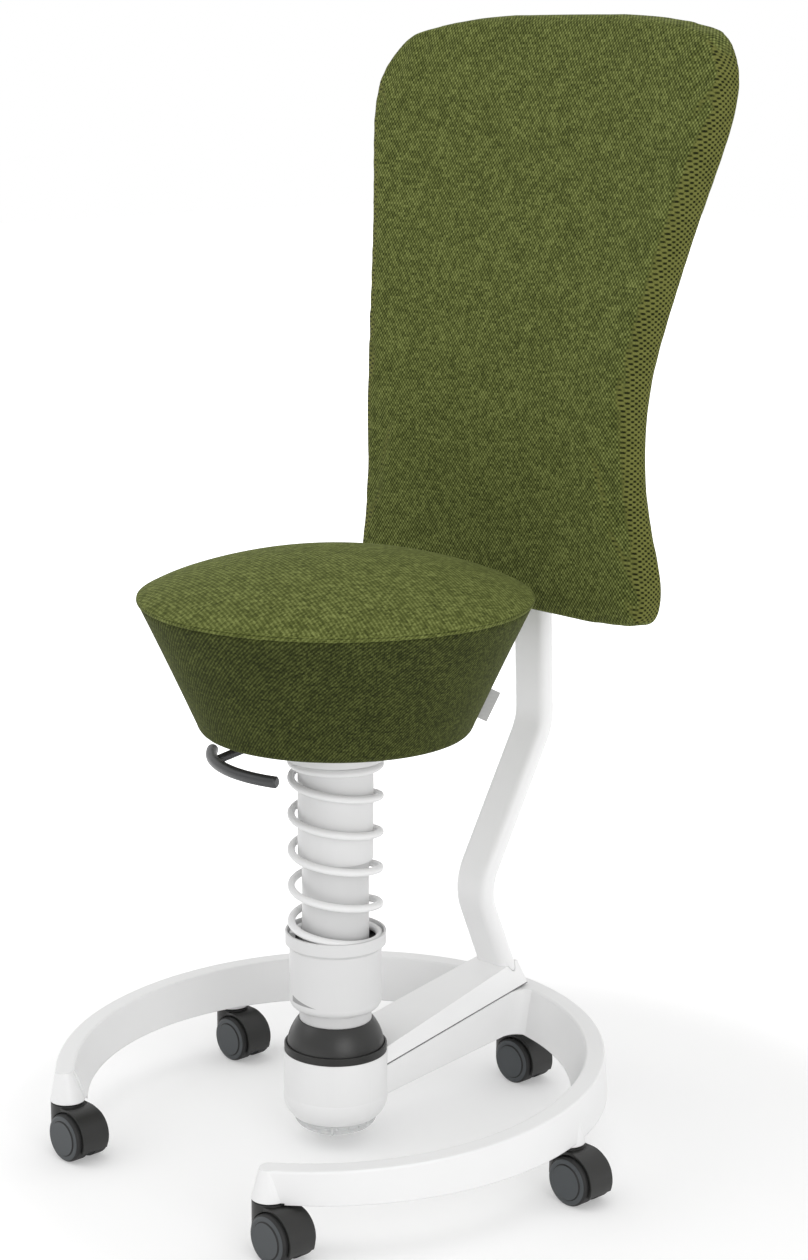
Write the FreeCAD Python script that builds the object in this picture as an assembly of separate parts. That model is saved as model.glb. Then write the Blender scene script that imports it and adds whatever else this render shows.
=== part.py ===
import FreeCAD, Part
import math
import os
from FreeCAD import Vector

# Frame: millimetres, +Z up, the sitter faces -Y, origin on the floor under the column.

# General fits
SLIDE_CLEARANCE = 0.08
SOFT_CLEARANCE = 0.3
SCREW_CLEARANCE = 0.15
CUT_OVERRUN = 1.0

# Base ring: C-shaped casting whose top and underside rise towards the back
RING_CENTRE_Y = -8.0
RING_OUTER_R = 285.0
RING_TOP_WIDTH = 20.0
RING_FOOT_Z = 59.0
RING_HEIGHT = 40.5
RING_OUTER_LEAN = -0.04
RING_INNER_LEAN = 0.34
RING_TOP_SLOPE = 0.048
RING_FOOT_SLOPE = 0.018
RING_EDGE_ROUND = 2.5
CASTER_COUNT = 5
BACK_CASTER_DEG = 90.0
CASTER_CIRCLE_R = 272.5

# Arm from the ring to the hub
ARM_HUB_HALF_WIDTH = 42.0
ARM_RING_HALF_WIDTH = 27.0
ARM_SEAM_Z = 81.7
ARM_SEAM_SLOPE = 0.146
ARM_FOOT_Z = 48.0
ARM_FOOT_SLOPE = 0.067
ARM_FLARE_R = 20.0

# Hub shell and its collar
HUB_R = 54.0
HUB_WALL = 2.6
HUB_FOOT_Z = 30.0
HUB_FOOT_R = 45.0
HUB_SHOULDER_Z = 55.0
HUB_TOP_Z = 99.5
HUB_FLOOR = 21.0
COLLAR_HEIGHT = 8.0
COLLAR_INSET = 0.6

# Tilt joint inside the hub
PIVOT_Z = 101.0
BOOT_CLEARANCE = 0.4
BOOT_WALL = 5.0
BOOT_RISE = 33.0
BOOT_DROP = 28.0
YOKE_GAP = 14.0
EAR_THICKNESS = 7.0
EAR_R = 9.0
CROSS_PIN_R = 4.0
CROSS_BLOCK = 16.0
YOKE_FLANGE_R = 40.0
YOKE_FLANGE = 6.0
CROWN_R = 29.0
CROWN_GAP = 28.0

# Tilt knob below the hub
KNOB_R = 43.0
KNOB_FOOT_R = 29.0
KNOB_HEIGHT = 12.0
KNOB_LIP = 3.0
KNOB_GAP = 0.8
KNOB_RIB_COUNT = 24
KNOB_RIB_R = 1.6
KNOB_MARK_DEG = -47.0
KNOB_MARK = 2.5
SPINDLE_R = 8.0

# Column tubes
NECK_R = 37.6
NECK_TOP_Z = 210.5
LOWER_TUBE_R = 34.7
TUBE_END_GAP = 3.0
TUBE_BORE_R = 31.0
TUBE_FLOOR = 11.0
UPPER_TUBE_R = 39.0
UPPER_TUBE_FOOT_Z = 308.0
GAS_CYLINDER_R = 24.0
GAS_FLOOR = 8.0
POST_R = 14.0
POST_FOOT_GAP = 1.0

# Spring cup, spring and spring plate
CUP_FOOT_Z = 147.0
CUP_SHOULDER = 9.5
CUP_BODY_R = 47.7
CUP_FLANGE_R = 52.2
CUP_FLANGE_STEP = 4.0
CUP_FLANGE_HEIGHT = 13.0
CUP_TOP_Z = 229.5
CUP_LEDGE = 4.0
SPRING_SEAT = 3.0
SPRING_WIRE_R = 4.0
SPRING_OUTER_R = 49.6
SPRING_ACTIVE_QUARTERS = 20
SPRING_END_QUARTERS = 2
SPRING_END_PITCH = 4.5
SPRING_TRAVEL = 55.0
SPRING_ARC_SAMPLES = 12
SPRING_START_DEG = 228.0
PLATE_FOOT_Z = 413.5
PLATE_THICKNESS = 8.2
PLATE_R = 50.5

# Seat
SEAT_R = 200.0
SEAT_FOOT_GAP = 21.3
SEAT_RIM_RISE = 137.0
SEAT_CROWN = 47.5
SEAT_CREASE_DROP = 3.0
SEAT_ROLL_RISE = 2.5
SEAT_CREASE_INSET = 1.4
SEAT_FOOT_R = 137.3
SEAT_FOOT_ROUND = 10.0
SEAT_RECESS_R = 112.0
SEAT_RECESS_DEPTH = 16.0
BOARD_THICKNESS = 6.0
PAN_THICKNESS = 4.0
PAN_R = 100.0
SOCKET_R = 26.0
SOCKET_LIFT = 2.0
POST_TOP_DROP = 8.0
PAN_SCREW_COUNT = 4
PAN_SCREW_PCD_R = 78.0
SCREW_R = 3.0
SCREW_HEAD_R = 5.5
SCREW_HEAD = 3.0
SCREW_END_GAP = 1.0

# Label tab on the seat's side
LABEL_DEG = 48.0
LABEL_FOOT_RISE = 12.0
LABEL_LENGTH = 30.0
LABEL_REACH = 10.0
LABEL_THICKNESS = 1.2

# Height lever under the seat
LEVER_DEG = 243.0
LEVER_PIVOT_R = 44.0
LEVER_PIVOT_DROP = 2.5
LEVER_BOSS_R = 5.0
LEVER_BOSS_HALF = 5.0
LEVER_PIN_R = 2.5
LEVER_EAR = 4.0
LEVER_ARM_R = 4.5
HANDLE_R = 126.0
HANDLE_DROP = 28.5
HANDLE_ROD_R = 6.0
HANDLE_BACK_DEG = 21.0
HANDLE_FRONT_DEG = 48.0
HANDLE_CHAMFER = 1.5
LEVER_ROOM = 1.0
LEVER_ARM_ROOM = 18.0
FINGER_HALF_WIDTH = 4.0
FINGER_THICKNESS = 4.0
FINGER_PAST_CENTRE = 4.0
BUTTON_R = 4.0
BUTTON_LENGTH = 9.0
BUTTON_STANDOUT = 4.0
BUTTON_TRAVEL = 5.0

# Backrest foot and bar: the bar's route is in the plane X = 0, as (y, z)
FOOT_START_Y = 34.0
FOOT_END_Y = 262.0
FOOT_INSET = 0.8
FOOT_HUB_HEIGHT = 16.0
FOOT_BAR_HEIGHT = 31.0
FOOT_FLANK = 5.0
BAR_WIDTH = 48.0
BAR_DEPTH = 21.5
BAR_ROUTE = ((247.0, 117.5), (198.0, 231.0), (292.5, 401.0), (282.5, 638.0))
BAR_BENDS = (55.0, 60.0)
FOOT_SCREW_YS = (90.0, 135.0, 180.0)
FOOT_SCREW_R = 4.0
FOOT_SCREW_HEAD_R = 6.5
FOOT_SCREW_HEAD = 8.0
FOOT_SCREW_SINK = 1.0
FOOT_SCREW_SOCKET_R = 3.0
FOOT_SCREW_GRIP = 14.0

# Backrest: levels as (z, half width, y of the front edge)
BACK_LEVELS = (
    (555.0, 205.0, 221.5),
    (593.0, 208.5, 222.5),
    (653.0, 197.5, 217.0),
    (723.0, 192.5, 213.0),
    (793.0, 195.0, 217.5),
    (873.0, 207.5, 232.0),
    (953.0, 223.5, 249.0),
    (1023.0, 239.5, 264.5),
    (1068.0, 245.0, 275.0),
    (1103.0, 236.0, 285.5),
    (1133.0, 206.0, 296.5),
)
BACK_TOP_ARCH = 18.0
BACK_FOOT_ARCH = 12.0
BACK_TOP_SQUARENESS = 3.0
BACK_FOOT_SQUARENESS = 5.0
BACK_EDGE = 35.0
BACK_END_DEPTHS = (1.0, 4.0, 9.0)
BACK_FRONT_CURVE_R = 2600.0
BACK_REAR_CURVE_R = 2000.0
BACK_SIDE_BULGE = 6.0
SHELL_INSET = 16.0
SHELL_THICKNESS = 5.0
SHELL_CORNER_R = 45.0
BACK_PLATE_HALF_WIDTH = 42.0
BACK_PLATE_DROP = 63.0
BACK_PLATE_HEIGHT = 73.0
BACK_SCREW_INSET = 18.0
BACK_SCREW_X = 12.0
BACK_PLATE_GRIP = 4.0

# Casters: twin wheel, hooded, trailing towards +X
WHEEL_R = 25.0
WHEEL_WIDTH = 17.0
WHEEL_CHAMFER = 4.0
WHEEL_INNER_CHAMFER = 1.0
WHEEL_BORE_SHORT = 0.5
WHEEL_CAP_R = 17.5
WHEEL_CAP_STEP = 1.2
CASTER_TRAIL = 19.0
CASTER_WEB = 8.0
WHEEL_SIDE_GAP = 0.4
WHEEL_HOOD_GAP = 0.9
HOOD_WALL = 2.6
HOOD_HALF_WIDTH = 15.5
HOOD_LIP_Z = 14.0
HOUSING_R = 17.5
HOUSING_TOP_Z = 55.0
AXLE_R = 4.0
STEM_R = 5.5
STEM_TOP_Z = 81.0
STEM_COLLAR_R = 9.0
BOSS_FOOT_Z = 56.6
BOSS_FOOT_R = 18.0
BOSS_TOP_R = 9.0
BOSS_HEIGHT = 33.0
BOSS_LEAN = 3.0
STEM_COLLAR_GAP = 0.2

# Worked-out sizes
REACH = 2 * RING_OUTER_R
RING_TOP_Z = RING_FOOT_Z + RING_HEIGHT
RING_OPENING_DEG = 360.0 / CASTER_COUNT
RING_FIRST_DEG = BACK_CASTER_DEG - 2 * RING_OPENING_DEG
RING_SPAN_DEG = 360.0 - RING_OPENING_DEG
RING_MID_R = RING_OUTER_R - RING_TOP_WIDTH / 2
RING_CENTRE = Vector(0, RING_CENTRE_Y, 0)
BOOT_R = HUB_R - HUB_WALL - BOOT_CLEARANCE
HUB_FLOOR_Z = HUB_FOOT_Z + HUB_FLOOR
BOOT_TOP_Z = PIVOT_Z + BOOT_RISE
PLATE_TOP_Z = PLATE_FOOT_Z + PLATE_THICKNESS
LOWER_TUBE_TOP_Z = PLATE_FOOT_Z - SPRING_TRAVEL - TUBE_END_GAP
GAS_CYLINDER_FOOT_Z = BOOT_TOP_Z + TUBE_FLOOR + SPRING_TRAVEL + TUBE_END_GAP
SPRING_R = SPRING_OUTER_R - SPRING_WIRE_R
CUP_POCKET_R = SPRING_OUTER_R + SOFT_CLEARANCE
CUP_LEDGE_Z = NECK_TOP_Z + CUP_LEDGE
SPRING_FOOT_Z = CUP_LEDGE_Z + SPRING_SEAT
SEAT_FOOT_Z = PLATE_TOP_Z + SEAT_FOOT_GAP
SEAT_RIM_Z = SEAT_FOOT_Z + SEAT_RIM_RISE
LABEL_FOOT_Z = SEAT_FOOT_Z + LABEL_FOOT_RISE
BOARD_TOP_Z = SEAT_FOOT_Z + SEAT_RECESS_DEPTH
PAN_TOP_Z = BOARD_TOP_Z - BOARD_THICKNESS
PAN_FOOT_Z = PAN_TOP_Z - PAN_THICKNESS
SOCKET_FOOT_Z = PLATE_TOP_Z + SOCKET_LIFT
POST_TOP_Z = PAN_FOOT_Z - POST_TOP_DROP
LEVER_PIVOT_Z = PAN_FOOT_Z - LEVER_PIVOT_DROP
HANDLE_Z = LEVER_PIVOT_Z - HANDLE_DROP
BACK_PLATE_LOW_Z = BAR_ROUTE[-1][1] - BACK_PLATE_DROP
BUTTON_TOP_Z = POST_TOP_Z + BUTTON_STANDOUT
HOOD_R = WHEEL_R + WHEEL_HOOD_GAP + HOOD_WALL
ORIGIN = Vector(0, 0, 0)
UP = Vector(0, 0, 1)
ALONG_X = Vector(1, 0, 0)
ALONG_Y = Vector(0, 1, 0)


def ring_top(y):
    return RING_TOP_Z + RING_TOP_SLOPE * y


def seam(y):
    return ARM_SEAM_Z + ARM_SEAM_SLOPE * (y - FOOT_START_Y)


def arm_foot(y):
    return ARM_FOOT_Z + ARM_FOOT_SLOPE * y


def wire_of(start, steps, place):
    """Closed wire; a step of two numbers ends a line, a step of four gives an arc's middle and end."""
    edges = []
    here = start
    for step in tuple(steps) + (start,):
        end = step[-2:]
        if len(step) == 4:
            edges.append(Part.Arc(place(*here), place(*step[:2]), place(*end)).toShape())
        elif end != here:
            edges.append(Part.LineSegment(place(*here), place(*end)).toShape())
        here = end
    return Part.Wire(edges)


def rounded_corner(before, corner, after, radius):
    """Start, middle and end of the arc that rounds a corner between two straight runs."""
    back = (before - corner).normalize()
    ahead = (after - corner).normalize()
    half = back.getAngle(ahead) / 2
    inset = radius / math.tan(half)
    middle = corner + (back + ahead).normalize() * (radius / math.sin(half) - radius)
    return corner + back * inset, middle, corner + ahead * inset


def turned(start, *steps):
    """Solid of revolution about Z from an outline of (radius, z) steps."""
    outline = wire_of(start, steps, lambda r, z: Vector(r, 0, z))
    return Part.Face(outline).revolve(ORIGIN, UP, 360)


def prism_x(half_width, start, *steps):
    """Prism symmetric about X = 0 from an outline of (y, z) steps."""
    outline = wire_of(start, steps, lambda y, z: Vector(-half_width, y, z))
    return Part.Face(outline).extrude(Vector(2 * half_width, 0, 0))


def slab(foot, top):
    """Everything between two planes that slope along Y."""
    corners = [(-REACH, foot(-REACH)), (REACH, foot(REACH)), (REACH, top(REACH)), (-REACH, top(-REACH))]
    return prism_x(REACH, *corners)


def cylinder_z(radius, low, high, x=0.0, y=0.0):
    return Part.makeCylinder(radius, high - low, Vector(x, y, low))


def cylinder_along(radius, half_length, centre, axis):
    return Part.makeCylinder(radius, 2 * half_length, centre - axis * half_length, axis)


def box(low, high):
    return Part.makeBox(high[0] - low[0], high[1] - low[1], high[2] - low[2], Vector(*low))


def fused(first, *others):
    return first.multiFuse(list(others)).removeSplitter()


def cut(shape, *tools):
    for tool in tools:
        shape = shape.cut(tool)
    return shape


def caster_places():
    for index in range(CASTER_COUNT):
        angle = math.radians(BACK_CASTER_DEG + index * RING_OPENING_DEG)
        yield index + 1, RING_CENTRE + Vector(math.cos(angle), math.sin(angle), 0) * CASTER_CIRCLE_R


def base_ring():
    """C-shaped ring with rounded top edges, turned about an axis square to its sloping top."""
    inner_r = RING_OUTER_R - RING_TOP_WIDTH
    depth = 2 * RING_HEIGHT
    outer = [Vector(RING_OUTER_R - RING_OUTER_LEAN * depth, 0, -depth), Vector(RING_OUTER_R, 0, 0)]
    inner = [Vector(inner_r, 0, 0), Vector(inner_r - RING_INNER_LEAN * depth, 0, -depth)]
    outer_edge = rounded_corner(outer[0], outer[1], inner[0], RING_EDGE_ROUND)
    inner_edge = rounded_corner(outer[1], inner[0], inner[1], RING_EDGE_ROUND)
    edges = [
        Part.LineSegment(outer[0], outer_edge[0]),
        Part.Arc(*outer_edge),
        Part.LineSegment(outer_edge[2], inner_edge[0]),
        Part.Arc(*inner_edge),
        Part.LineSegment(inner_edge[2], inner[1]),
        Part.LineSegment(inner[1], outer[0]),
    ]
    section = Part.Face(Part.Wire([edge.toShape() for edge in edges]))
    section.rotate(ORIGIN, UP, RING_FIRST_DEG)
    ring = section.revolve(ORIGIN, UP, RING_SPAN_DEG)
    ring.rotate(ORIGIN, ALONG_X, math.degrees(math.atan(RING_TOP_SLOPE)))
    ring.translate(RING_CENTRE + UP * ring_top(RING_CENTRE_Y))
    above_foot = slab(lambda y: RING_FOOT_Z + RING_FOOT_SLOPE * y, lambda y: RING_TOP_Z + RING_HEIGHT)
    return ring.common(above_foot)


def arm_outline(z):
    """Plan of the arm at one height, with concave flares that run into the ring's inner wall."""
    inner_r = RING_OUTER_R - RING_TOP_WIDTH + RING_INNER_LEAN * (z - RING_TOP_Z)
    hub_corner = Vector(ARM_HUB_HALF_WIDTH, 0, 0)
    ring_corner = Vector(ARM_RING_HALF_WIDTH, inner_r, 0)
    along = (ring_corner - hub_corner).normalize()
    outward = Vector(along.y, -along.x, 0)
    offset = hub_corner + outward * ARM_FLARE_R - RING_CENTRE
    reach = inner_r - ARM_FLARE_R
    run = -offset.dot(along) + math.sqrt(offset.dot(along) ** 2 - offset.dot(offset) + reach**2)
    centre = RING_CENTRE + offset + along * run
    on_arm = hub_corner + along * run
    spoke = (centre - RING_CENTRE).normalize()
    on_ring = RING_CENTRE + spoke * inner_r
    middle = centre + ((on_arm - centre) + (on_ring - centre)).normalize() * ARM_FLARE_R
    in_ring = RING_CENTRE + spoke * RING_MID_R
    right = [hub_corner, on_arm, middle, on_ring, in_ring]
    right = [(point.x, point.y) for point in right]
    left = [(-x, y) for x, y in right]
    steps = [right[1], right[2] + right[3], right[4]]
    steps.append((0, RING_CENTRE_Y + RING_MID_R) + left[4])
    steps += [left[3], left[2] + left[1], left[0]]
    return wire_of(right[0], steps, lambda x, y: Vector(x, y, z))


def arm():
    solid = Part.makeLoft([arm_outline(HUB_FOOT_Z), arm_outline(RING_TOP_Z + RING_HEIGHT)], True, True)
    return solid.common(slab(arm_foot, seam)).common(slab(arm_foot, ring_top))


def hub_shell():
    turn = math.sqrt(0.5)
    width = HUB_R - HUB_FOOT_R
    height = HUB_SHOULDER_Z - HUB_FOOT_Z
    return turned(
        (0, HUB_FOOT_Z),
        (HUB_FOOT_R, HUB_FOOT_Z),
        (HUB_FOOT_R + width * turn, HUB_SHOULDER_Z - height * turn, HUB_R, HUB_SHOULDER_Z),
        (HUB_R, HUB_TOP_Z),
        (0, HUB_TOP_Z),
    )


def caster_boss(place):
    """Cone over a caster whose top leans out to the ring's outer edge."""
    outward = (place - RING_CENTRE).normalize()
    foot = Part.Circle(place + UP * BOSS_FOOT_Z, UP, BOSS_FOOT_R)
    top = Part.Circle(place + outward * BOSS_LEAN + UP * (BOSS_FOOT_Z + BOSS_HEIGHT), UP, BOSS_TOP_R)
    return Part.makeLoft([Part.Wire(foot.toShape()), Part.Wire(top.toShape())], True, True)


def base_casting():
    below_top = slab(lambda y: HUB_FOOT_Z, ring_top)
    bosses = []
    bores = []
    stem_hole_z = STEM_TOP_Z + CUT_OVERRUN
    for _, place in caster_places():
        bosses.append(caster_boss(place).common(below_top))
        bores.append(cylinder_z(BOSS_FOOT_R + HOOD_WALL, HUB_FOOT_Z, BOSS_FOOT_Z, place.x, place.y))
        bores.append(cylinder_z(STEM_R + SLIDE_CLEARANCE, BOSS_FOOT_Z, stem_hole_z, place.x, place.y))
    casting = fused(base_ring(), arm(), hub_shell(), *bosses)
    cavity = cylinder_z(HUB_R - HUB_WALL, HUB_FLOOR_Z, HUB_TOP_Z + CUT_OVERRUN)
    spindle_bore = cylinder_z(SPINDLE_R + SLIDE_CLEARANCE, HUB_FOOT_Z - CUT_OVERRUN, HUB_TOP_Z)
    screw_holes = []
    for y in FOOT_SCREW_YS:
        screw_holes.append(cylinder_z(FOOT_SCREW_R + SCREW_CLEARANCE, 0, REACH, 0, y))
        head_top = foot_screw_head_z(y) + FOOT_SCREW_HEAD
        screw_holes.append(cylinder_z(FOOT_SCREW_HEAD_R + SCREW_CLEARANCE, 0, head_top, 0, y))
    return cut(casting, cavity, spindle_bore, *bores, *screw_holes)


def foot_screw_head_z(y):
    return arm_foot(y) + FOOT_SCREW_SINK


def foot_screws():
    screws = []
    for y in FOOT_SCREW_YS:
        head_z = foot_screw_head_z(y)
        head = cylinder_z(FOOT_SCREW_HEAD_R, head_z, head_z + FOOT_SCREW_HEAD, 0, y)
        shank = cylinder_z(FOOT_SCREW_R, head_z + FOOT_SCREW_HEAD, seam(y) + FOOT_SCREW_GRIP, 0, y)
        socket = cylinder_z(FOOT_SCREW_SOCKET_R, head_z, head_z + FOOT_SCREW_HEAD / 2, 0, y)
        screws.append(head.fuse(shank).removeSplitter().cut(socket))
    return Part.makeCompound(screws)


def collar_ring():
    outer_r = HUB_R - COLLAR_INSET
    return turned(
        (HUB_R - HUB_WALL, HUB_TOP_Z),
        (outer_r, HUB_TOP_Z),
        (outer_r, HUB_TOP_Z + COLLAR_HEIGHT - COLLAR_INSET),
        (outer_r - COLLAR_INSET, HUB_TOP_Z + COLLAR_HEIGHT),
        (HUB_R - HUB_WALL, HUB_TOP_Z + COLLAR_HEIGHT),
    )


def fork(axis, foot_z, side):
    """Two ears that hold pins along an axis through the pivot, rising from or hanging to a plate."""
    across = axis.cross(UP)
    pivot = UP * PIVOT_Z
    ears = []
    for sign in (-1, 1):
        centre = pivot + axis * sign * (YOKE_GAP + EAR_THICKNESS / 2)
        deep = axis * (EAR_THICKNESS / 2)
        wide = across * EAR_R
        corners = [centre - deep - wide, centre + deep - wide, centre + deep + wide, centre - deep + wide]
        leg = Part.Face(Part.makePolygon(corners + corners[:1])).extrude(UP * (foot_z - PIVOT_Z))
        eye = cylinder_along(EAR_R, EAR_THICKNESS / 2, centre, axis)
        ears.append(leg.fuse(eye))
    bore = cylinder_along(CROSS_PIN_R + SLIDE_CLEARANCE, YOKE_GAP + EAR_THICKNESS, pivot, axis)
    return side.multiFuse(ears).removeSplitter().cut(bore)


def hub_yoke():
    flange = cylinder_z(YOKE_FLANGE_R, HUB_FLOOR_Z, HUB_FLOOR_Z + YOKE_FLANGE)
    return fork(ALONG_X, HUB_FLOOR_Z + YOKE_FLANGE, flange)


def column_yoke():
    crown_z = PIVOT_Z + CROWN_GAP
    crown = cylinder_z(CROWN_R, crown_z, BOOT_TOP_Z)
    return fork(ALONG_Y, crown_z, crown)


def pivot_cross():
    half = CROSS_BLOCK / 2
    block = box((-half, -half, PIVOT_Z - half), (half, half, PIVOT_Z + half))
    pins = []
    for axis in (ALONG_X, ALONG_Y):
        pins.append(cylinder_along(CROSS_PIN_R, YOKE_GAP + EAR_THICKNESS, UP * PIVOT_Z, axis))
    return fused(block, *pins)


def boot():
    inner_r = BOOT_R - BOOT_WALL
    top_r = math.sqrt(BOOT_R**2 - BOOT_RISE**2)
    foot_r = math.sqrt(BOOT_R**2 - BOOT_DROP**2)
    inside_foot_r = math.sqrt(inner_r**2 - BOOT_DROP**2)
    inside_rise = BOOT_RISE - BOOT_WALL
    inside_top_r = math.sqrt(inner_r**2 - inside_rise**2)
    neck_r = CROWN_R + SCREW_CLEARANCE
    return turned(
        (neck_r, BOOT_TOP_Z),
        (neck_r, PIVOT_Z + inside_rise),
        (inside_top_r, PIVOT_Z + inside_rise),
        (inner_r, PIVOT_Z, inside_foot_r, PIVOT_Z - BOOT_DROP),
        (foot_r, PIVOT_Z - BOOT_DROP),
        (BOOT_R, PIVOT_Z, top_r, BOOT_TOP_Z),
    )


def tilt_knob():
    """Shallow bowl with grip grooves and a raised mark."""
    top_z = HUB_FOOT_Z - KNOB_GAP
    low_z = top_z - KNOB_HEIGHT
    bowl_z = top_z - KNOB_LIP
    bowl_r = KNOB_FOOT_R + (KNOB_R - KNOB_FOOT_R) * math.sqrt(0.5)
    bowl_middle_z = bowl_z - (bowl_z - low_z) * math.sqrt(0.5)
    body = turned(
        (0, low_z),
        (KNOB_FOOT_R, low_z),
        (bowl_r, bowl_middle_z, KNOB_R, bowl_z),
        (KNOB_R, top_z),
        (0, top_z),
    )
    grooves = []
    for index in range(KNOB_RIB_COUNT):
        angle = 2 * math.pi * (index + 0.5) / KNOB_RIB_COUNT + math.radians(KNOB_MARK_DEG)
        x = (KNOB_R + KNOB_RIB_R / 2) * math.cos(angle)
        y = (KNOB_R + KNOB_RIB_R / 2) * math.sin(angle)
        grooves.append(cylinder_z(KNOB_RIB_R, low_z, bowl_z + KNOB_LIP / 2, x, y))
    half = KNOB_MARK / 2
    mark = box((KNOB_FOOT_R, -half, low_z + KNOB_LIP), (KNOB_R + half, half, top_z))
    mark.rotate(ORIGIN, UP, KNOB_MARK_DEG)
    return fused(cut(body, *grooves), mark)


def knob_spindle():
    return cylinder_z(SPINDLE_R, HUB_FOOT_Z - KNOB_GAP, HUB_FLOOR_Z - KNOB_GAP)


def lower_tube():
    return turned(
        (0, BOOT_TOP_Z),
        (NECK_R, BOOT_TOP_Z),
        (NECK_R, NECK_TOP_Z),
        (LOWER_TUBE_R, NECK_TOP_Z),
        (LOWER_TUBE_R, LOWER_TUBE_TOP_Z),
        (TUBE_BORE_R, LOWER_TUBE_TOP_Z),
        (TUBE_BORE_R, BOOT_TOP_Z + TUBE_FLOOR),
        (0, BOOT_TOP_Z + TUBE_FLOOR),
    )


def spring_cup():
    bore_r = NECK_R + SOFT_CLEARANCE
    lip_r = bore_r + HUB_WALL
    shoulder_z = CUP_FOOT_Z + CUP_SHOULDER
    flange_z = CUP_TOP_Z - CUP_FLANGE_HEIGHT
    bulge = math.sqrt(0.5)
    return turned(
        (bore_r, CUP_FOOT_Z),
        (lip_r, CUP_FOOT_Z),
        (lip_r + bulge * (CUP_BODY_R - lip_r), shoulder_z - bulge * CUP_SHOULDER, CUP_BODY_R, shoulder_z),
        (CUP_BODY_R, flange_z - CUP_FLANGE_STEP),
        (CUP_FLANGE_R, flange_z),
        (CUP_FLANGE_R, CUP_TOP_Z),
        (CUP_POCKET_R, CUP_TOP_Z),
        (CUP_POCKET_R, CUP_LEDGE_Z),
        (bore_r, CUP_LEDGE_Z),
    )


def spring_seat():
    """Ring on the cup's ledge that the spring stands on."""
    ring = cylinder_z(SPRING_OUTER_R, CUP_LEDGE_Z, SPRING_FOOT_Z)
    return ring.cut(cylinder_z(LOWER_TUBE_R + SOFT_CLEARANCE, CUP_LEDGE_Z, SPRING_FOOT_Z))


def spring_knots():
    """Quarter-turn points of the left-handed helix, each with its direction, flat at both ends."""
    low = SPRING_FOOT_Z + SPRING_WIRE_R + SOFT_CLEARANCE
    high = PLATE_FOOT_Z - SPRING_WIRE_R - SOFT_CLEARANCE
    quarter = math.pi / 2
    flat = SPRING_END_PITCH / (2 * math.pi)
    ends = 2 * SPRING_END_QUARTERS
    steep = ((high - low) / quarter - flat * (ends + 1)) / (SPRING_ACTIVE_QUARTERS - 1)
    rises = [flat] * (SPRING_END_QUARTERS + 1) + [steep] * (SPRING_ACTIVE_QUARTERS - 1)
    rises += [flat] * (SPRING_END_QUARTERS + 1)
    knots = []
    z = low
    for index, rise in enumerate(rises):
        if index:
            z += quarter * (rise + rises[index - 1]) / 2
        angle = math.radians(SPRING_START_DEG) - index * quarter
        point = Vector(SPRING_R * math.cos(angle), SPRING_R * math.sin(angle), z)
        direction = Vector(SPRING_R * math.sin(angle), -SPRING_R * math.cos(angle), rise)
        knots.append((point, direction.normalize()))
    return knots


def half_arc(start, direction, end):
    """Arc that leaves start along a direction and reaches end."""
    chord = end - start
    angle = direction.getAngle(chord)
    middle = (start + end) * 0.5
    tip = start + direction * (chord.Length / 2 / math.cos(angle))
    lift = math.tan(angle / 2) / math.tan(angle)
    return Part.Arc(start, middle + (tip - middle) * lift, end).toShape()


def biarc(start, start_way, end, end_way):
    """Two arcs with a common tangent between two points with given directions."""
    span = end - start
    ways = span.dot(start_way + end_way)
    spread = 2 * (1 - start_way.dot(end_way))
    length = (math.sqrt(ways**2 + spread * span.dot(span)) - ways) / spread
    joint = (start + start_way * length + end - end_way * length) * 0.5
    return [half_arc(start, start_way, joint), half_arc(end, end_way * -1, joint)]


def least_coil_gap(edges):
    """Least gap between points on the wire that are half a turn or more apart; a turn has eight arcs."""
    points = []
    for edge in edges:
        points += edge.discretize(SPRING_ARC_SAMPLES + 1)[:-1]
    half_turn = 4 * SPRING_ARC_SAMPLES
    pairs = ((a, b) for index, a in enumerate(points) for b in points[index + half_turn:])
    return min(a.distanceToPoint(b) for a, b in pairs) - 2 * SPRING_WIRE_R


def coil_spring():
    knots = spring_knots()
    edges = []
    for (start, start_way), (end, end_way) in zip(knots, knots[1:]):
        edges += biarc(start, start_way, end, end_way)
    route = Part.Wire(edges)
    section = Part.Wire(Part.Circle(knots[0][0], knots[0][1], SPRING_WIRE_R).toShape())
    sweep = Part.BRepOffsetAPI.MakePipeShell(route)
    sweep.add(section)
    sweep.build()
    sweep.makeSolid()
    print("coil spring: least gap between turns %.2f mm" % least_coil_gap(edges))
    return sweep.shape()


def upper_tube():
    bore_r = LOWER_TUBE_R + SLIDE_CLEARANCE
    return cylinder_z(UPPER_TUBE_R, UPPER_TUBE_FOOT_Z, PLATE_FOOT_Z).cut(
        cylinder_z(bore_r, UPPER_TUBE_FOOT_Z, PLATE_FOOT_Z))


def spring_plate():
    bore_r = POST_R + SOFT_CLEARANCE
    return cylinder_z(PLATE_R, PLATE_FOOT_Z, PLATE_TOP_Z).cut(cylinder_z(bore_r, PLATE_FOOT_Z, PLATE_TOP_Z))


def gas_cylinder():
    body = cylinder_z(GAS_CYLINDER_R, GAS_CYLINDER_FOOT_Z, PLATE_FOOT_Z)
    return body.cut(cylinder_z(POST_R + SLIDE_CLEARANCE, GAS_CYLINDER_FOOT_Z + GAS_FLOOR, PLATE_FOOT_Z))


def seat_post():
    foot_z = GAS_CYLINDER_FOOT_Z + GAS_FLOOR + POST_FOOT_GAP
    valve_z = BUTTON_TOP_Z - BUTTON_LENGTH - BUTTON_TRAVEL
    post = cylinder_z(POST_R, foot_z, POST_TOP_Z)
    return post.cut(cylinder_z(BUTTON_R + SLIDE_CLEARANCE, valve_z, POST_TOP_Z))


def valve_button():
    return cylinder_z(BUTTON_R, BUTTON_TOP_Z - BUTTON_LENGTH, BUTTON_TOP_Z)


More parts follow.
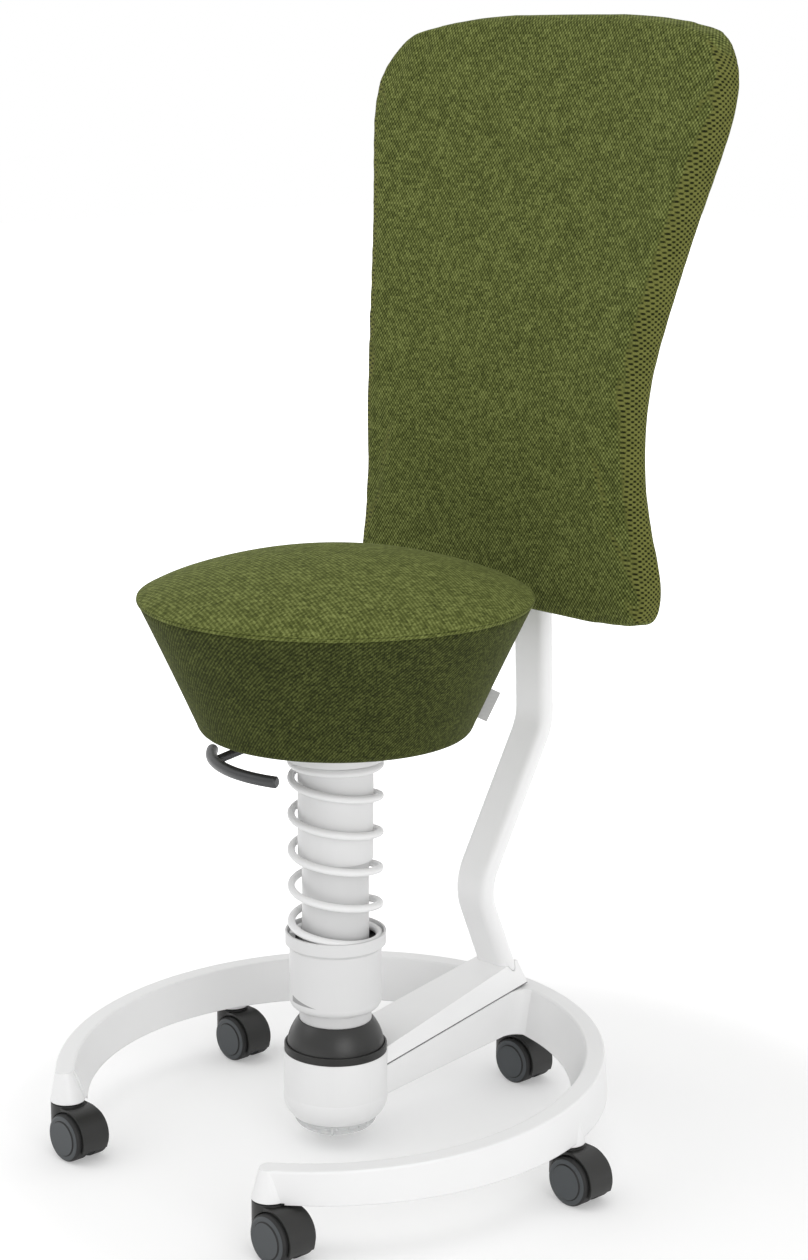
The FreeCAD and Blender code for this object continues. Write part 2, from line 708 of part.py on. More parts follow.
def on_lever_axis(shape):
    """Turn a shape made along +X to the lever's direction under the seat."""
    shape.rotate(ORIGIN, UP, LEVER_DEG)
    return shape


def finger_low_z():
    return BUTTON_TOP_Z + SOFT_CLEARANCE


def seat_socket():
    body = cylinder_z(SOCKET_R, SOCKET_FOOT_Z, PAN_FOOT_Z)
    bore = cylinder_z(POST_R + SLIDE_CLEARANCE, SOCKET_FOOT_Z, PAN_FOOT_Z)
    half = FINGER_HALF_WIDTH + LEVER_ROOM
    slot = box((0, -half, POST_TOP_Z - BUTTON_TRAVEL), (SOCKET_R + LEVER_ROOM, half, PAN_FOOT_Z))
    return cut(body, bore, on_lever_axis(slot))


def pan_screw_places():
    for index in range(PAN_SCREW_COUNT):
        angle = math.radians(LEVER_DEG + 45 + 360.0 * index / PAN_SCREW_COUNT)
        yield PAN_SCREW_PCD_R * math.cos(angle), PAN_SCREW_PCD_R * math.sin(angle)


def pan_screw_holes():
    hole_r = SCREW_R + SCREW_CLEARANCE
    return [cylinder_z(hole_r, PAN_FOOT_Z, BOARD_TOP_Z, x, y) for x, y in pan_screw_places()]


def seat_pan():
    """Steel disc with the two ears that carry the lever's pin."""
    pan = cylinder_z(PAN_R, PAN_FOOT_Z, PAN_TOP_Z)
    pivot = Vector(LEVER_PIVOT_R, 0, LEVER_PIVOT_Z)
    low_z = LEVER_PIVOT_Z - LEVER_BOSS_R
    near = LEVER_BOSS_HALF + SOFT_CLEARANCE
    far = near + LEVER_EAR
    for low, high in ((-far, -near), (near, far)):
        ear = box((pivot.x - LEVER_BOSS_R, low, low_z), (pivot.x + LEVER_BOSS_R, high, PAN_FOOT_Z))
        pan = pan.fuse(on_lever_axis(ear))
    pin_bore = cylinder_along(LEVER_PIN_R + SLIDE_CLEARANCE, far, pivot, ALONG_Y)
    half = LEVER_BOSS_HALF + SOFT_CLEARANCE
    inner = -FINGER_PAST_CENTRE - LEVER_ROOM
    outer = pivot.x + LEVER_ARM_ROOM
    lever_room = box((inner, -half, PAN_FOOT_Z), (outer, half, PAN_TOP_Z))
    return cut(pan.removeSplitter(), on_lever_axis(pin_bore), on_lever_axis(lever_room), *pan_screw_holes())


def pan_screws():
    screws = []
    for x, y in pan_screw_places():
        head = cylinder_z(SCREW_HEAD_R, PAN_FOOT_Z - SCREW_HEAD, PAN_FOOT_Z, x, y)
        shank = cylinder_z(SCREW_R, PAN_FOOT_Z, BOARD_TOP_Z - SCREW_END_GAP, x, y)
        screws.append(head.fuse(shank).removeSplitter())
    return Part.makeCompound(screws)


def seat_board():
    board = cylinder_z(SEAT_RECESS_R - SOFT_CLEARANCE, PAN_TOP_Z, BOARD_TOP_Z)
    return cut(board, *pan_screw_holes())


def seat_cushion():
    """Conical pad with a crowned top, a rolled rim and a recess for the board and pan."""
    crease = Vector(SEAT_R - SEAT_CREASE_INSET, SEAT_RIM_Z - SEAT_CREASE_DROP, 0)
    foot_corner = Vector(SEAT_FOOT_R, SEAT_FOOT_Z, 0)
    foot = rounded_corner(Vector(SEAT_RECESS_R, SEAT_FOOT_Z, 0), foot_corner, crease, SEAT_FOOT_ROUND)
    foot = [(point.x, point.y) for point in foot]
    shoulder_r = crease.x
    shoulder_z = SEAT_RIM_Z + SEAT_ROLL_RISE
    crown_z = SEAT_RIM_Z + SEAT_CROWN
    rise = crown_z - shoulder_z
    crown_r = (shoulder_r**2 + rise**2) / (2 * rise)
    half_r = shoulder_r / 2
    half_z = crown_z - crown_r + math.sqrt(crown_r**2 - half_r**2)
    return turned(
        (0, BOARD_TOP_Z),
        (SEAT_RECESS_R, BOARD_TOP_Z),
        (SEAT_RECESS_R, SEAT_FOOT_Z),
        foot[0],
        foot[1] + foot[2],
        (crease.x, crease.y),
        (SEAT_R, SEAT_RIM_Z, shoulder_r, shoulder_z),
        (half_r, half_z, 0, crown_z),
    )


def seat_label():
    crease_z = SEAT_RIM_Z - SEAT_CREASE_DROP
    lean = (SEAT_R - SEAT_CREASE_INSET - SEAT_FOOT_R) / (crease_z - SEAT_FOOT_Z)
    start_r = SEAT_FOOT_R + lean * (LABEL_FOOT_Z - SEAT_FOOT_Z) + SOFT_CLEARANCE
    end_r = start_r + lean * LABEL_LENGTH
    end_z = LABEL_FOOT_Z + LABEL_LENGTH
    half = LABEL_THICKNESS / 2
    corners = ((start_r, LABEL_FOOT_Z), (start_r + LABEL_REACH, LABEL_FOOT_Z - lean * LABEL_REACH),
               (end_r + LABEL_REACH, end_z - lean * LABEL_REACH), (end_r, end_z))
    outline = wire_of(corners[0], corners[1:], lambda r, z: Vector(r, -half, z))
    tab = Part.Face(outline).extrude(ALONG_Y * LABEL_THICKNESS)
    tab.rotate(ORIGIN, UP, LABEL_DEG)
    return tab


def lever():
    """Curved handle on a sloping arm, with a pivot boss and a finger over the valve."""
    pivot = Vector(LEVER_PIVOT_R, 0, LEVER_PIVOT_Z)
    boss = cylinder_along(LEVER_BOSS_R, LEVER_BOSS_HALF, pivot, ALONG_Y)
    way = Vector(HANDLE_R, 0, HANDLE_Z) - pivot
    rod = Part.makeCylinder(LEVER_ARM_R, way.Length, pivot, way)
    low_z = finger_low_z()
    wide = FINGER_HALF_WIDTH
    finger = box((-FINGER_PAST_CENTRE, -wide, low_z), (LEVER_PIVOT_R, wide, low_z + FINGER_THICKNESS))
    circle = Part.Circle(Vector(HANDLE_R, 0, HANDLE_Z), ALONG_Y, HANDLE_ROD_R)
    section = Part.Face(Part.Wire(circle.toShape()))
    section.rotate(ORIGIN, UP, -HANDLE_BACK_DEG)
    handle = section.revolve(ORIGIN, UP, HANDLE_BACK_DEG + HANDLE_FRONT_DEG)
    ends = [edge for edge in handle.Edges if abs(edge.Length - 2 * math.pi * HANDLE_ROD_R) < 0.01]
    handle = handle.makeChamfer(HANDLE_CHAMFER, ends)
    pin_bore = cylinder_along(LEVER_PIN_R + SLIDE_CLEARANCE, LEVER_BOSS_HALF + CUT_OVERRUN, pivot, ALONG_Y)
    return on_lever_axis(fused(boss, rod, finger, handle).cut(pin_bore))


def lever_pin():
    half = LEVER_BOSS_HALF + SOFT_CLEARANCE + LEVER_EAR
    pivot = Vector(LEVER_PIVOT_R, 0, LEVER_PIVOT_Z)
    return on_lever_axis(cylinder_along(LEVER_PIN_R, half, pivot, ALONG_Y))


def foot_section(y, half_width, height):
    low = seam(y)
    top_half = half_width - FOOT_FLANK
    corners = ((top_half, low + height), (-top_half, low + height), (-half_width, low))
    return wire_of((half_width, low), corners, lambda x, z: Vector(x, y, z))


def bar_start():
    """Foot end of the bar's route, its way up and the way to its front face."""
    foot, bend = [Vector(0, y, z) for y, z in BAR_ROUTE[:2]]
    way = (bend - foot).normalize()
    return foot, way, ALONG_X.cross(way)


def behind_bar():
    """Space behind the plane of the bar's rear face at its foot end."""
    foot, way, front = bar_start()
    rear = foot - front * BAR_DEPTH / 2
    low = rear - way * REACH
    high = rear + way * REACH
    far_y = rear.y + 2 * REACH
    return prism_x(REACH, (low.y, low.z), (high.y, high.z), (far_y, high.z), (far_y, low.z))


def backrest_foot():
    """Wedge on the arm that carries the bar in a pocket and ends flush with the bar's rear face."""
    taper = (ARM_RING_HALF_WIDTH - ARM_HUB_HALF_WIDTH) / (RING_OUTER_R - RING_TOP_WIDTH)
    start_half = ARM_HUB_HALF_WIDTH + taper * FOOT_START_Y - FOOT_INSET
    end_half = ARM_HUB_HALF_WIDTH + taper * FOOT_END_Y - FOOT_INSET
    near = foot_section(FOOT_START_Y, start_half, FOOT_HUB_HEIGHT)
    far = foot_section(FOOT_END_Y, end_half, FOOT_BAR_HEIGHT)
    foot = Part.makeLoft([near, far], True, True)
    holes = []
    for y in FOOT_SCREW_YS:
        top_z = seam(y) + FOOT_SCREW_GRIP + SCREW_END_GAP
        holes.append(cylinder_z(FOOT_SCREW_R + SCREW_CLEARANCE, 0, top_z, 0, y))
    return cut(foot, cylinder_z(HUB_R, HUB_FOOT_Z, BOOT_TOP_Z), solid_bar(), behind_bar(), *holes)


def bar_route():
    """Straight runs joined by tangent arcs, in the plane X = 0."""
    corners = [Vector(0, y, z) for y, z in BAR_ROUTE]
    edges = []
    here = corners[0]
    for before, corner, after, radius in zip(corners, corners[1:], corners[2:], BAR_BENDS):
        bend = rounded_corner(before, corner, after, radius)
        edges.append(Part.LineSegment(here, bend[0]).toShape())
        edges.append(Part.Arc(*bend).toShape())
        here = bend[2]
    edges.append(Part.LineSegment(here, corners[-1]).toShape())
    return Part.Wire(edges)


def solid_bar():
    """Flat oval section swept along the route."""
    start, _, across = bar_start()
    flat = (BAR_WIDTH - BAR_DEPTH) / 2
    half = BAR_DEPTH / 2

    def place(x, depth):
        return start + ALONG_X * x + across * depth

    section = wire_of(
        (-flat, -half),
        ((flat, -half), (flat + half, 0, flat, half), (-flat, half), (-flat - half, 0, -flat, -half)),
        place,
    )
    return bar_route().makePipeShell([section], True, False)


def backrest_bar():
    return cut(solid_bar(), *back_screw_holes())


def back_section(z, half_width, front, rear, front_sag, rear_sag, bulge):
    """Level of the back as four arcs: hollow front, curved rear and bulged sides."""
    middle = (front + rear) / 2
    return wire_of(
        (-half_width, front),
        (
            (0, front + front_sag, half_width, front),
            (half_width + bulge, middle, half_width, rear),
            (0, rear + rear_sag, -half_width, rear),
            (-half_width - bulge, middle, -half_width, front),
        ),
        lambda x, y: Vector(x, y, z),
    )


def cushion_section(z, half_width, edge_y, trim):
    """Level of the cushion, thinner by trim at the front and at the rear."""
    half = half_width - BACK_SIDE_BULGE
    front_sag = half**2 / (2 * BACK_FRONT_CURVE_R)
    rear_sag = half**2 / (2 * BACK_REAR_CURVE_R)
    front = edge_y + trim
    rear = edge_y + BACK_EDGE - trim
    return back_section(z, half, front, rear, front_sag, rear_sag, BACK_SIDE_BULGE)


def cushion_end(end_level, next_level, arch, squareness):
    """Arched end with a rounded edge, ruled from its tip to the cushion's last listed level."""
    z, half_width, edge_y = end_level
    way = math.copysign(1, z - next_level[0])
    lean = (edge_y - next_level[2]) / (z - next_level[0])
    radius = BACK_EDGE / 2
    sections = []
    for depth in BACK_END_DEPTHS:
        trim = radius - math.sqrt(radius**2 - (radius - depth) ** 2)
        rise = way * (arch - depth)
        end_half = half_width * (depth / arch) ** (1 / squareness)
        sections.append(cushion_section(z + rise, end_half, edge_y + lean * rise, trim))
    sections.append(cushion_section(*end_level, 0.0))
    return Part.makeLoft(sections, True, True)


def backrest_cushion():
    middle = Part.makeLoft([cushion_section(*level, 0.0) for level in BACK_LEVELS], True, False)
    foot = cushion_end(BACK_LEVELS[0], BACK_LEVELS[1], BACK_FOOT_ARCH, BACK_FOOT_SQUARENESS)
    top = cushion_end(BACK_LEVELS[-1], BACK_LEVELS[-2], BACK_TOP_ARCH, BACK_TOP_SQUARENESS)
    return fused(middle, foot, top)


def behind_cushion(levels, start, depth, inset):
    """Layer that follows the cushion's rear, from one distance behind it to another."""
    sections = []
    for z, half_width, edge_y in levels:
        full = half_width - BACK_SIDE_BULGE
        half = half_width - inset
        sag = half**2 / (2 * BACK_REAR_CURVE_R)
        near = edge_y + BACK_EDGE + start + (full**2 - half**2) / (2 * BACK_REAR_CURVE_R)
        sections.append(back_section(z, half, near, near + depth, sag, sag, SOFT_CLEARANCE))
    return Part.makeLoft(sections, True, False)


def corner_cutters(end_level, next_level):
    """Tools that round the shell's two corners at one end, tangent to its sides."""
    way = math.copysign(SHELL_CORNER_R, end_level[0] - next_level[0])
    for side in (-1, 1):
        corner = Vector(side * (end_level[1] - SHELL_INSET), 0, end_level[0])
        along_side = Vector(side * (next_level[1] - SHELL_INSET), 0, next_level[0])
        on_side, middle, on_end = rounded_corner(along_side, corner, Vector(0, 0, corner.z), SHELL_CORNER_R)
        outside = corner.x + side * SHELL_CORNER_R
        steps = (
            (middle.x, middle.z, on_end.x, on_end.z),
            (on_end.x, corner.z + way),
            (outside, corner.z + way),
            (outside, on_side.z),
        )
        outline = wire_of((on_side.x, on_side.z), steps, lambda x, z: Vector(x, 0, z))
        yield Part.Face(outline).extrude(ALONG_Y * REACH)


def backrest_shell():
    levels = BACK_LEVELS[:-1]
    shell = behind_cushion(levels, SOFT_CLEARANCE, SHELL_THICKNESS, SHELL_INSET)
    corners = list(corner_cutters(levels[0], levels[1])) + list(corner_cutters(levels[-1], levels[-2]))
    return cut(shell, backrest_cushion(), *corners, *back_screw_holes())


def back_screw_places():
    for z in (BACK_PLATE_LOW_Z + BACK_SCREW_INSET, BACK_PLATE_LOW_Z + BACK_PLATE_HEIGHT - BACK_SCREW_INSET):
        for x in (-BACK_SCREW_X, BACK_SCREW_X):
            yield x, bar_rear(z), z


def bar_rear(z):
    """Rear face of the bar's upper run at one height."""
    (low_y, low_z), (high_y, high_z) = BAR_ROUTE[-2:]
    lean = (high_y - low_y) / (high_z - low_z)
    return low_y + lean * (z - low_z) + BAR_DEPTH / 2 * math.sqrt(1 + lean**2)


def screw_length(depth):
    return BAR_DEPTH + BACK_PLATE_GRIP + depth


def back_screw_holes():
    holes = []
    for x, rear, z in back_screw_places():
        start = Vector(x, rear + SCREW_HEAD, z)
        length = screw_length(SCREW_HEAD + SCREW_END_GAP)
        holes.append(Part.makeCylinder(SCREW_R + SCREW_CLEARANCE, length, start, ALONG_Y * -1))
    return holes


def backrest_plate():
    """Packer between the curved shell and the bar."""
    high_z = BACK_PLATE_LOW_Z + BACK_PLATE_HEIGHT
    rear = bar_rear(high_z) - BAR_DEPTH / 2
    block = box((-BACK_PLATE_HALF_WIDTH, 0, BACK_PLATE_LOW_Z), (BACK_PLATE_HALF_WIDTH, rear, high_z))
    in_front = behind_cushion(BACK_LEVELS[:-1], -rear, rear + SOFT_CLEARANCE + SHELL_THICKNESS, SHELL_INSET)
    return cut(block, in_front, solid_bar(), *back_screw_holes())


def backrest_screws():
    screws = []
    for x, rear, z in back_screw_places():
        seat_y = rear + SOFT_CLEARANCE
        shank = Part.makeCylinder(SCREW_R, screw_length(SOFT_CLEARANCE), Vector(x, seat_y, z), ALONG_Y * -1)
        head = Part.makeCylinder(SCREW_HEAD_R, SCREW_HEAD, Vector(x, seat_y, z), ALONG_Y)
        screws.append(shank.fuse(head).removeSplitter())
    return Part.makeCompound(screws)


def wheel_axis():
    return Vector(CASTER_TRAIL, 0, WHEEL_R)


def wheel_well(side, width):
    start = wheel_axis() + ALONG_Y * side * CASTER_WEB / 2
    return Part.makeCylinder(WHEEL_R + WHEEL_HOOD_GAP, width, start, ALONG_Y * side)


def caster_hood():
    """Drum-shaped cover over the wheels, a web between them and the round stem housing."""
    axis = wheel_axis()
    drum = cylinder_along(HOOD_R, HOOD_HALF_WIDTH, axis, ALONG_Y)
    housing = cylinder_z(HOUSING_R, WHEEL_R, HOUSING_TOP_Z)
    bridge = box((0, -HOOD_HALF_WIDTH, WHEEL_R), (CASTER_TRAIL, HOOD_HALF_WIDTH, WHEEL_R + HOOD_R))
    shell = fused(drum, housing, bridge)
    wells = [wheel_well(side, WHEEL_R + HOOD_R) for side in (-1, 1)]
    front_low = box((-REACH, -REACH, -REACH), (CASTER_TRAIL, REACH, WHEEL_R))
    below = box((-REACH, -REACH, -REACH), (REACH, REACH, HOOD_LIP_Z))
    shell = cut(shell, *wells, front_low, below)
    web = cylinder_along(WHEEL_R - HOOD_WALL, CASTER_WEB / 2, axis, ALONG_Y)
    axle_bore = cylinder_along(AXLE_R, HOOD_HALF_WIDTH, axis, ALONG_Y)
    stem_bore = cylinder_z(STEM_R, HOUSING_TOP_Z - STEM_R * 2, HOUSING_TOP_Z)
    return cut(fused(shell, web), axle_bore, stem_bore)


def caster_stem():
    pin = cylinder_z(STEM_R, HOUSING_TOP_Z - STEM_R * 2, STEM_TOP_Z)
    collar = cylinder_z(STEM_COLLAR_R, HOUSING_TOP_Z, BOSS_FOOT_Z - STEM_COLLAR_GAP)
    return fused(pin, collar)


def caster_axle():
    half = CASTER_WEB / 2 + WHEEL_SIDE_GAP + WHEEL_WIDTH - WHEEL_CHAMFER
    return cylinder_along(AXLE_R, half, wheel_axis(), ALONG_Y)


def caster_wheel(side):
    """Wheel with a chamfered outer rim and a raised cap."""
    bore_r = AXLE_R + SLIDE_CLEARANCE
    bore = WHEEL_WIDTH - WHEEL_CHAMFER + WHEEL_BORE_SHORT
    bevel = WHEEL_CHAMFER * (1 - math.sqrt(0.5))
    wheel = turned(
        (bore_r, 0),
        (WHEEL_R - WHEEL_INNER_CHAMFER, 0),
        (WHEEL_R, WHEEL_INNER_CHAMFER),
        (WHEEL_R, WHEEL_WIDTH - WHEEL_CHAMFER),
        (WHEEL_R - bevel, WHEEL_WIDTH - bevel, WHEEL_R - WHEEL_CHAMFER, WHEEL_WIDTH),
        (WHEEL_CAP_R + WHEEL_CAP_STEP, WHEEL_WIDTH),
        (WHEEL_CAP_R, WHEEL_WIDTH + WHEEL_CAP_STEP),
        (0, WHEEL_WIDTH + WHEEL_CAP_STEP),
        (0, bore),
        (bore_r, bore),
    )
    wheel.rotate(ORIGIN, ALONG_X, -90 * side)
    wheel.translate(wheel_axis() + ALONG_Y * side * (CASTER_WEB / 2 + WHEEL_SIDE_GAP))
    return wheel


def casters():
    pieces = {
        "hood": caster_hood(),
        "stem": caster_stem(),
        "axle": caster_axle(),
        "wheel_left": caster_wheel(-1),
        "wheel_right": caster_wheel(1),
    }
    for number, place in caster_places():
        for name, piece in pieces.items():
            yield "caster_%d_%s" % (number, name), piece.translated(place)


def nodes():
    made = {
        "base_casting": base_casting(),
        "foot_screws": foot_screws(),
        "hub_yoke": hub_yoke(),
        "collar_ring": collar_ring(),
        "backrest_foot": backrest_foot(),
        "backrest_bar": backrest_bar(),
        "backrest_plate": backrest_plate(),
        "backrest_screws": backrest_screws(),
        "backrest_shell": backrest_shell(),
        "backrest_cushion": backrest_cushion(),
        "tilt_knob": tilt_knob(),
        "knob_spindle": knob_spindle(),
        "pivot_cross": pivot_cross(),
        "column_yoke": column_yoke(),
        "boot": boot(),
        "lower_tube": lower_tube(),
        "spring_cup": spring_cup(),
        "spring_seat": spring_seat(),
        "coil_spring": coil_spring(),
        "upper_tube": upper_tube(),
        "spring_plate": spring_plate(),
        "gas_cylinder": gas_cylinder(),
        "seat_post": seat_post(),
        "valve_button": valve_button(),
        "seat_socket": seat_socket(),
        "seat_pan": seat_pan(),
        "pan_screws": pan_screws(),
        "seat_board": seat_board(),
        "seat_cushion": seat_cushion(),
        "seat_label": seat_label(),
        "lever": lever(),
        "lever_pin": lever_pin(),
    }
    made.update(casters())
    return made


def main():
    os.makedirs("parts", exist_ok=True)
    for name, shape in nodes().items():
        if not shape.isValid():
            print("not valid:", name)
        shape.exportStep("parts/%s.step" % name)


main()
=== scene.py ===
import math

import bmesh
import bpy
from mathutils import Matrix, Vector


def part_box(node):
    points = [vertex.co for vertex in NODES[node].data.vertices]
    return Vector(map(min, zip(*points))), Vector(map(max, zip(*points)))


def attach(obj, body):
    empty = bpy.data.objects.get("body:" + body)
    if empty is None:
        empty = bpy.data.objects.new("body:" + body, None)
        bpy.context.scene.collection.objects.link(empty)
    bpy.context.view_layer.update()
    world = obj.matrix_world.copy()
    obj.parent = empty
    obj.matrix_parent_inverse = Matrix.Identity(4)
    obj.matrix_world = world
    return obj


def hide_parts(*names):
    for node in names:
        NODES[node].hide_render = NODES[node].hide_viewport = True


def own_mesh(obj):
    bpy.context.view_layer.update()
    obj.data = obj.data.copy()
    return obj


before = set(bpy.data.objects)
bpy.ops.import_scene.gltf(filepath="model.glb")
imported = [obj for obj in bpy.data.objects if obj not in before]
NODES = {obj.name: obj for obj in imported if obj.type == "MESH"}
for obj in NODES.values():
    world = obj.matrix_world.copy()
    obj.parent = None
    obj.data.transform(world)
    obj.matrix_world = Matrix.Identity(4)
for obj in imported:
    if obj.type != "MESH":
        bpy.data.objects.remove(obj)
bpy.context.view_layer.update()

SCENE = bpy.context.scene
MM = 0.001
PER_METRE = 1000.0

# Linear colours; a fabric has a dark, a middle and a light yarn, and its dark end also paints
# the shade in the weave's hollows
LEAF = ((0.020, 0.026, 0.004), (0.090, 0.107, 0.024), (0.235, 0.268, 0.082))
BAND = ((0.010, 0.012, 0.002), (0.068, 0.075, 0.015), (0.160, 0.168, 0.044))
# Seat wall below the crease: a darker fabric, deepened by painted shade because the wall faces
# down
WALL_TONE_AND_SHADE = ((0.008, 0.011, 0.002), (0.038, 0.046, 0.010), (0.112, 0.130, 0.036))
SHEEN_TINT = (0.55, 0.62, 0.22)
WHITE_PAINT = (0.88, 0.88, 0.88)
# Painted shade: the lower tube is painted grey to stand for the shade it sits in below the cup
TUBE_GREY_WITH_PAINTED_SHADE = (0.66, 0.66, 0.66)
WHITE_PLASTIC = (0.75, 0.75, 0.75)
# Painted light: the bar and the backrest's foot get a whiter paint than the casting, to lift
# them where the seat and backrest shade them
BAR_PAINT_WITH_PAINTED_LIGHT = (0.94, 0.94, 0.94)
MARK_GREY = (0.33, 0.33, 0.33)
# Painted shadow for the line where the backrest's foot meets the arm
SEAM_SHADOW_GREY = (0.10, 0.10, 0.10)
RUBBER = (0.016, 0.016, 0.015)
BLACK_SATIN = (0.011, 0.011, 0.010)
WHEEL_FACE = (0.058, 0.065, 0.070)
WHEEL_TREAD = (0.010, 0.010, 0.010)
LEVER_GREY = (0.030, 0.031, 0.033)
STEEL = (0.52, 0.52, 0.53)
CLEAR = (0.92, 0.93, 0.93)
LABEL = (0.56, 0.56, 0.55)
PLY_PALE = (0.55, 0.38, 0.20)
PLY_DARK = (0.36, 0.22, 0.10)

# Finishes of painted and moulded parts
CASTING_COAT = dict(roughness=0.36, rounding_mm=1.2, peel_mm=0.02)
TUBE_COAT = dict(roughness=0.36, rounding_mm=1.0, peel_mm=0.015)
MOULDED = dict(roughness=0.42, rounding_mm=0.8, peel_mm=0.012)
RUBBERY = dict(roughness=0.36, rounding_mm=0.8, peel_mm=0.03)
SATIN_COAT = dict(roughness=0.45, rounding_mm=0.6, peel_mm=0.02)
SHELL_GRAIN = dict(roughness=0.55, rounding_mm=0.8, peel_mm=0.05)
LEVER_COAT = dict(roughness=0.40, rounding_mm=0.6, peel_mm=0.015)
HOOD_GRAIN = dict(roughness=0.42, rounding_mm=0.8, peel_mm=0.03)
BEVEL_SAMPLES = 6

# Weave sizes in millimetres
MESH_STITCH = 2.1
MESH_ROW = 2.6
BAND_STITCH = 2.8
BAND_ROW = 2.6
TWILL_PERIOD = 4.0
TOP_PERIOD = 4.2
LABEL_STITCH = 0.7
STREAK_LENGTH = 9.0

# Weave looks: lean and beads of the twill, then the parts of the yarn's unevenness, then how
# far height (contrast, painted shade that darkens the weave's hollows) and unevenness (gain,
# shift) count in its tone
TOP_LEAN = 0.32
SIDE_LEAN = -1.0
BEAD_PACE = 1.4
BEAD_DEPTH = 0.3
STREAK_SHARE = 0.40
SPECK_SHARE = 0.36
CLOUD_SHARE = 0.20
LANE_STEP = 1.7
MESH_CONTRAST = 0.85
MESH_SHIFT = -0.03
BAND_CONTRAST = 1.0
BAND_GAIN = 0.6
SIDE_CONTRAST = 0.6
SIDE_GAIN = 1.2
SIDE_SHIFT = -0.03
TOP_CONTRAST = 0.4
TOP_GAIN = 1.1
TOP_SHIFT = 0.04
FABRIC = dict(Roughness=0.95, Specular_IOR_Level=0.15, Sheen_Tint=SHEEN_TINT)

# Line of stitches above the seat's crease, in millimetres, and its share of the dark yarn
STITCHING_UP = 4.0
STITCHING_HALF = 0.55
STITCHING_INK = 0.45

# Marks on the white parts, a printed wedge and a painted shadow line at the foot's seam, in
# millimetres and degrees
WEDGE_FOOT_Z = 157.8
WEDGE_HEIGHT = 6.6
WEDGE_TURN = (-110.0, -67.0)
FOOT_SEAM_Z = 81.7
FOOT_SEAM_Y = 34.0
FOOT_SEAM_SLOPE = 0.146
FOOT_SEAM_WIDTH = 1.1

# Swelling of both covers
SWELL_PRESSURE = 4.0
SWELL_CAP = 3.0 * MM
SWELL_FRAMES = 20
STILL = 1e-9

# Seat cover: its profile goes from the board down the recess, round the foot, up the wall,
# over the crease and the rolled rim to the crown
SEAT_SEGMENTS = 192
RECESS_R = 112.0 * MM
LIP = 4.0 * MM
FOOT_FLAT = 12.0 * MM
FOOT_IN = 62.7 * MM
FOOT_OUT = 4.0 * MM
FOOT_UP = 10.5 * MM
FOOT_BULGE = 4.6 * MM
FOOT_STEPS = 8
WALL_BULGE = -0.5 * MM
WALL_STEPS = 26
CREASE_IN = 1.6 * MM
CREASE_UP = 134.0 * MM
WALL_TOP = (-1.2, -2.0)
CREASE_LINE = ((-1.5, -0.6), (-1.3, 0.0), (0.1, 0.3), (0.8, 0.9), (1.3, 1.9))
ROLL_R = 6.0 * MM
ROLL_UP = 3.0 * MM
ROLL_TURN = 65
ROLL_STEPS = 10
CROWN_DROP = 1.5 * MM
CROWN_POWER = 2.05
CROWN_STEPS = 40
HELD_FOOT = 14.0 * MM
HELD_BELOW = 3.0 * MM
HELD_ABOVE = 6.0 * MM
HELD_IN = 3.0 * MM

# Back cover
VOXEL = 5.0 * MM
SMOOTH_FACTOR = 0.5
SMOOTH_ROUNDS = 9
HEM_OUT = 5.0 * MM
HEM_TOP = 3.0 * MM
HEM_DROP = 8.0 * MM
HELD_REAR = 0.35

# Studio: light of the world and of the floor, met indirectly or seen directly; the floor's glow
# grows with the distance in millimetres from a point
WORLD_LIGHT = 0.80
WORLD_SEEN = 1.0
FLOOR_HALF = 12.0
FLOOR_CELLS = 8
FLOOR_BOUNCE = 0.92
FLOOR_SEEN = 0.78
GLOW_X = 80.0
GLOW_Y = 88.0
GLOW_START = 400.0
GLOW_END = 880.0
GLOW_NEAR = 0.26
GLOW_FAR = 1.0

# Lamps: name, place, height of the aim on the axis and side in metres, and power in watts
LAMPS = (
    ("left", (-1.7, -1.9, 2.2), 0.4, 1.6, 7),
    ("right", (3.2, -1.1, 1.3), 0.5, 2.0, 28),
    ("top", (0.0, -0.6, 3.4), 0.3, 2.2, 9),
)

# Camera, fitted to the photo: sizes in its pixels, place in metres, angles in degrees
SENSOR = 36.0
PHOTO_HEIGHT = 1260
PHOTO_MIDDLE = 404
FOCAL = 2654
AXIS_COLUMN = 335.6
CAMERA_PLACE = (1.9347, -1.7475, 1.124)
CAMERA_DOWN = 12.51
CAMERA_TURN = 47.91


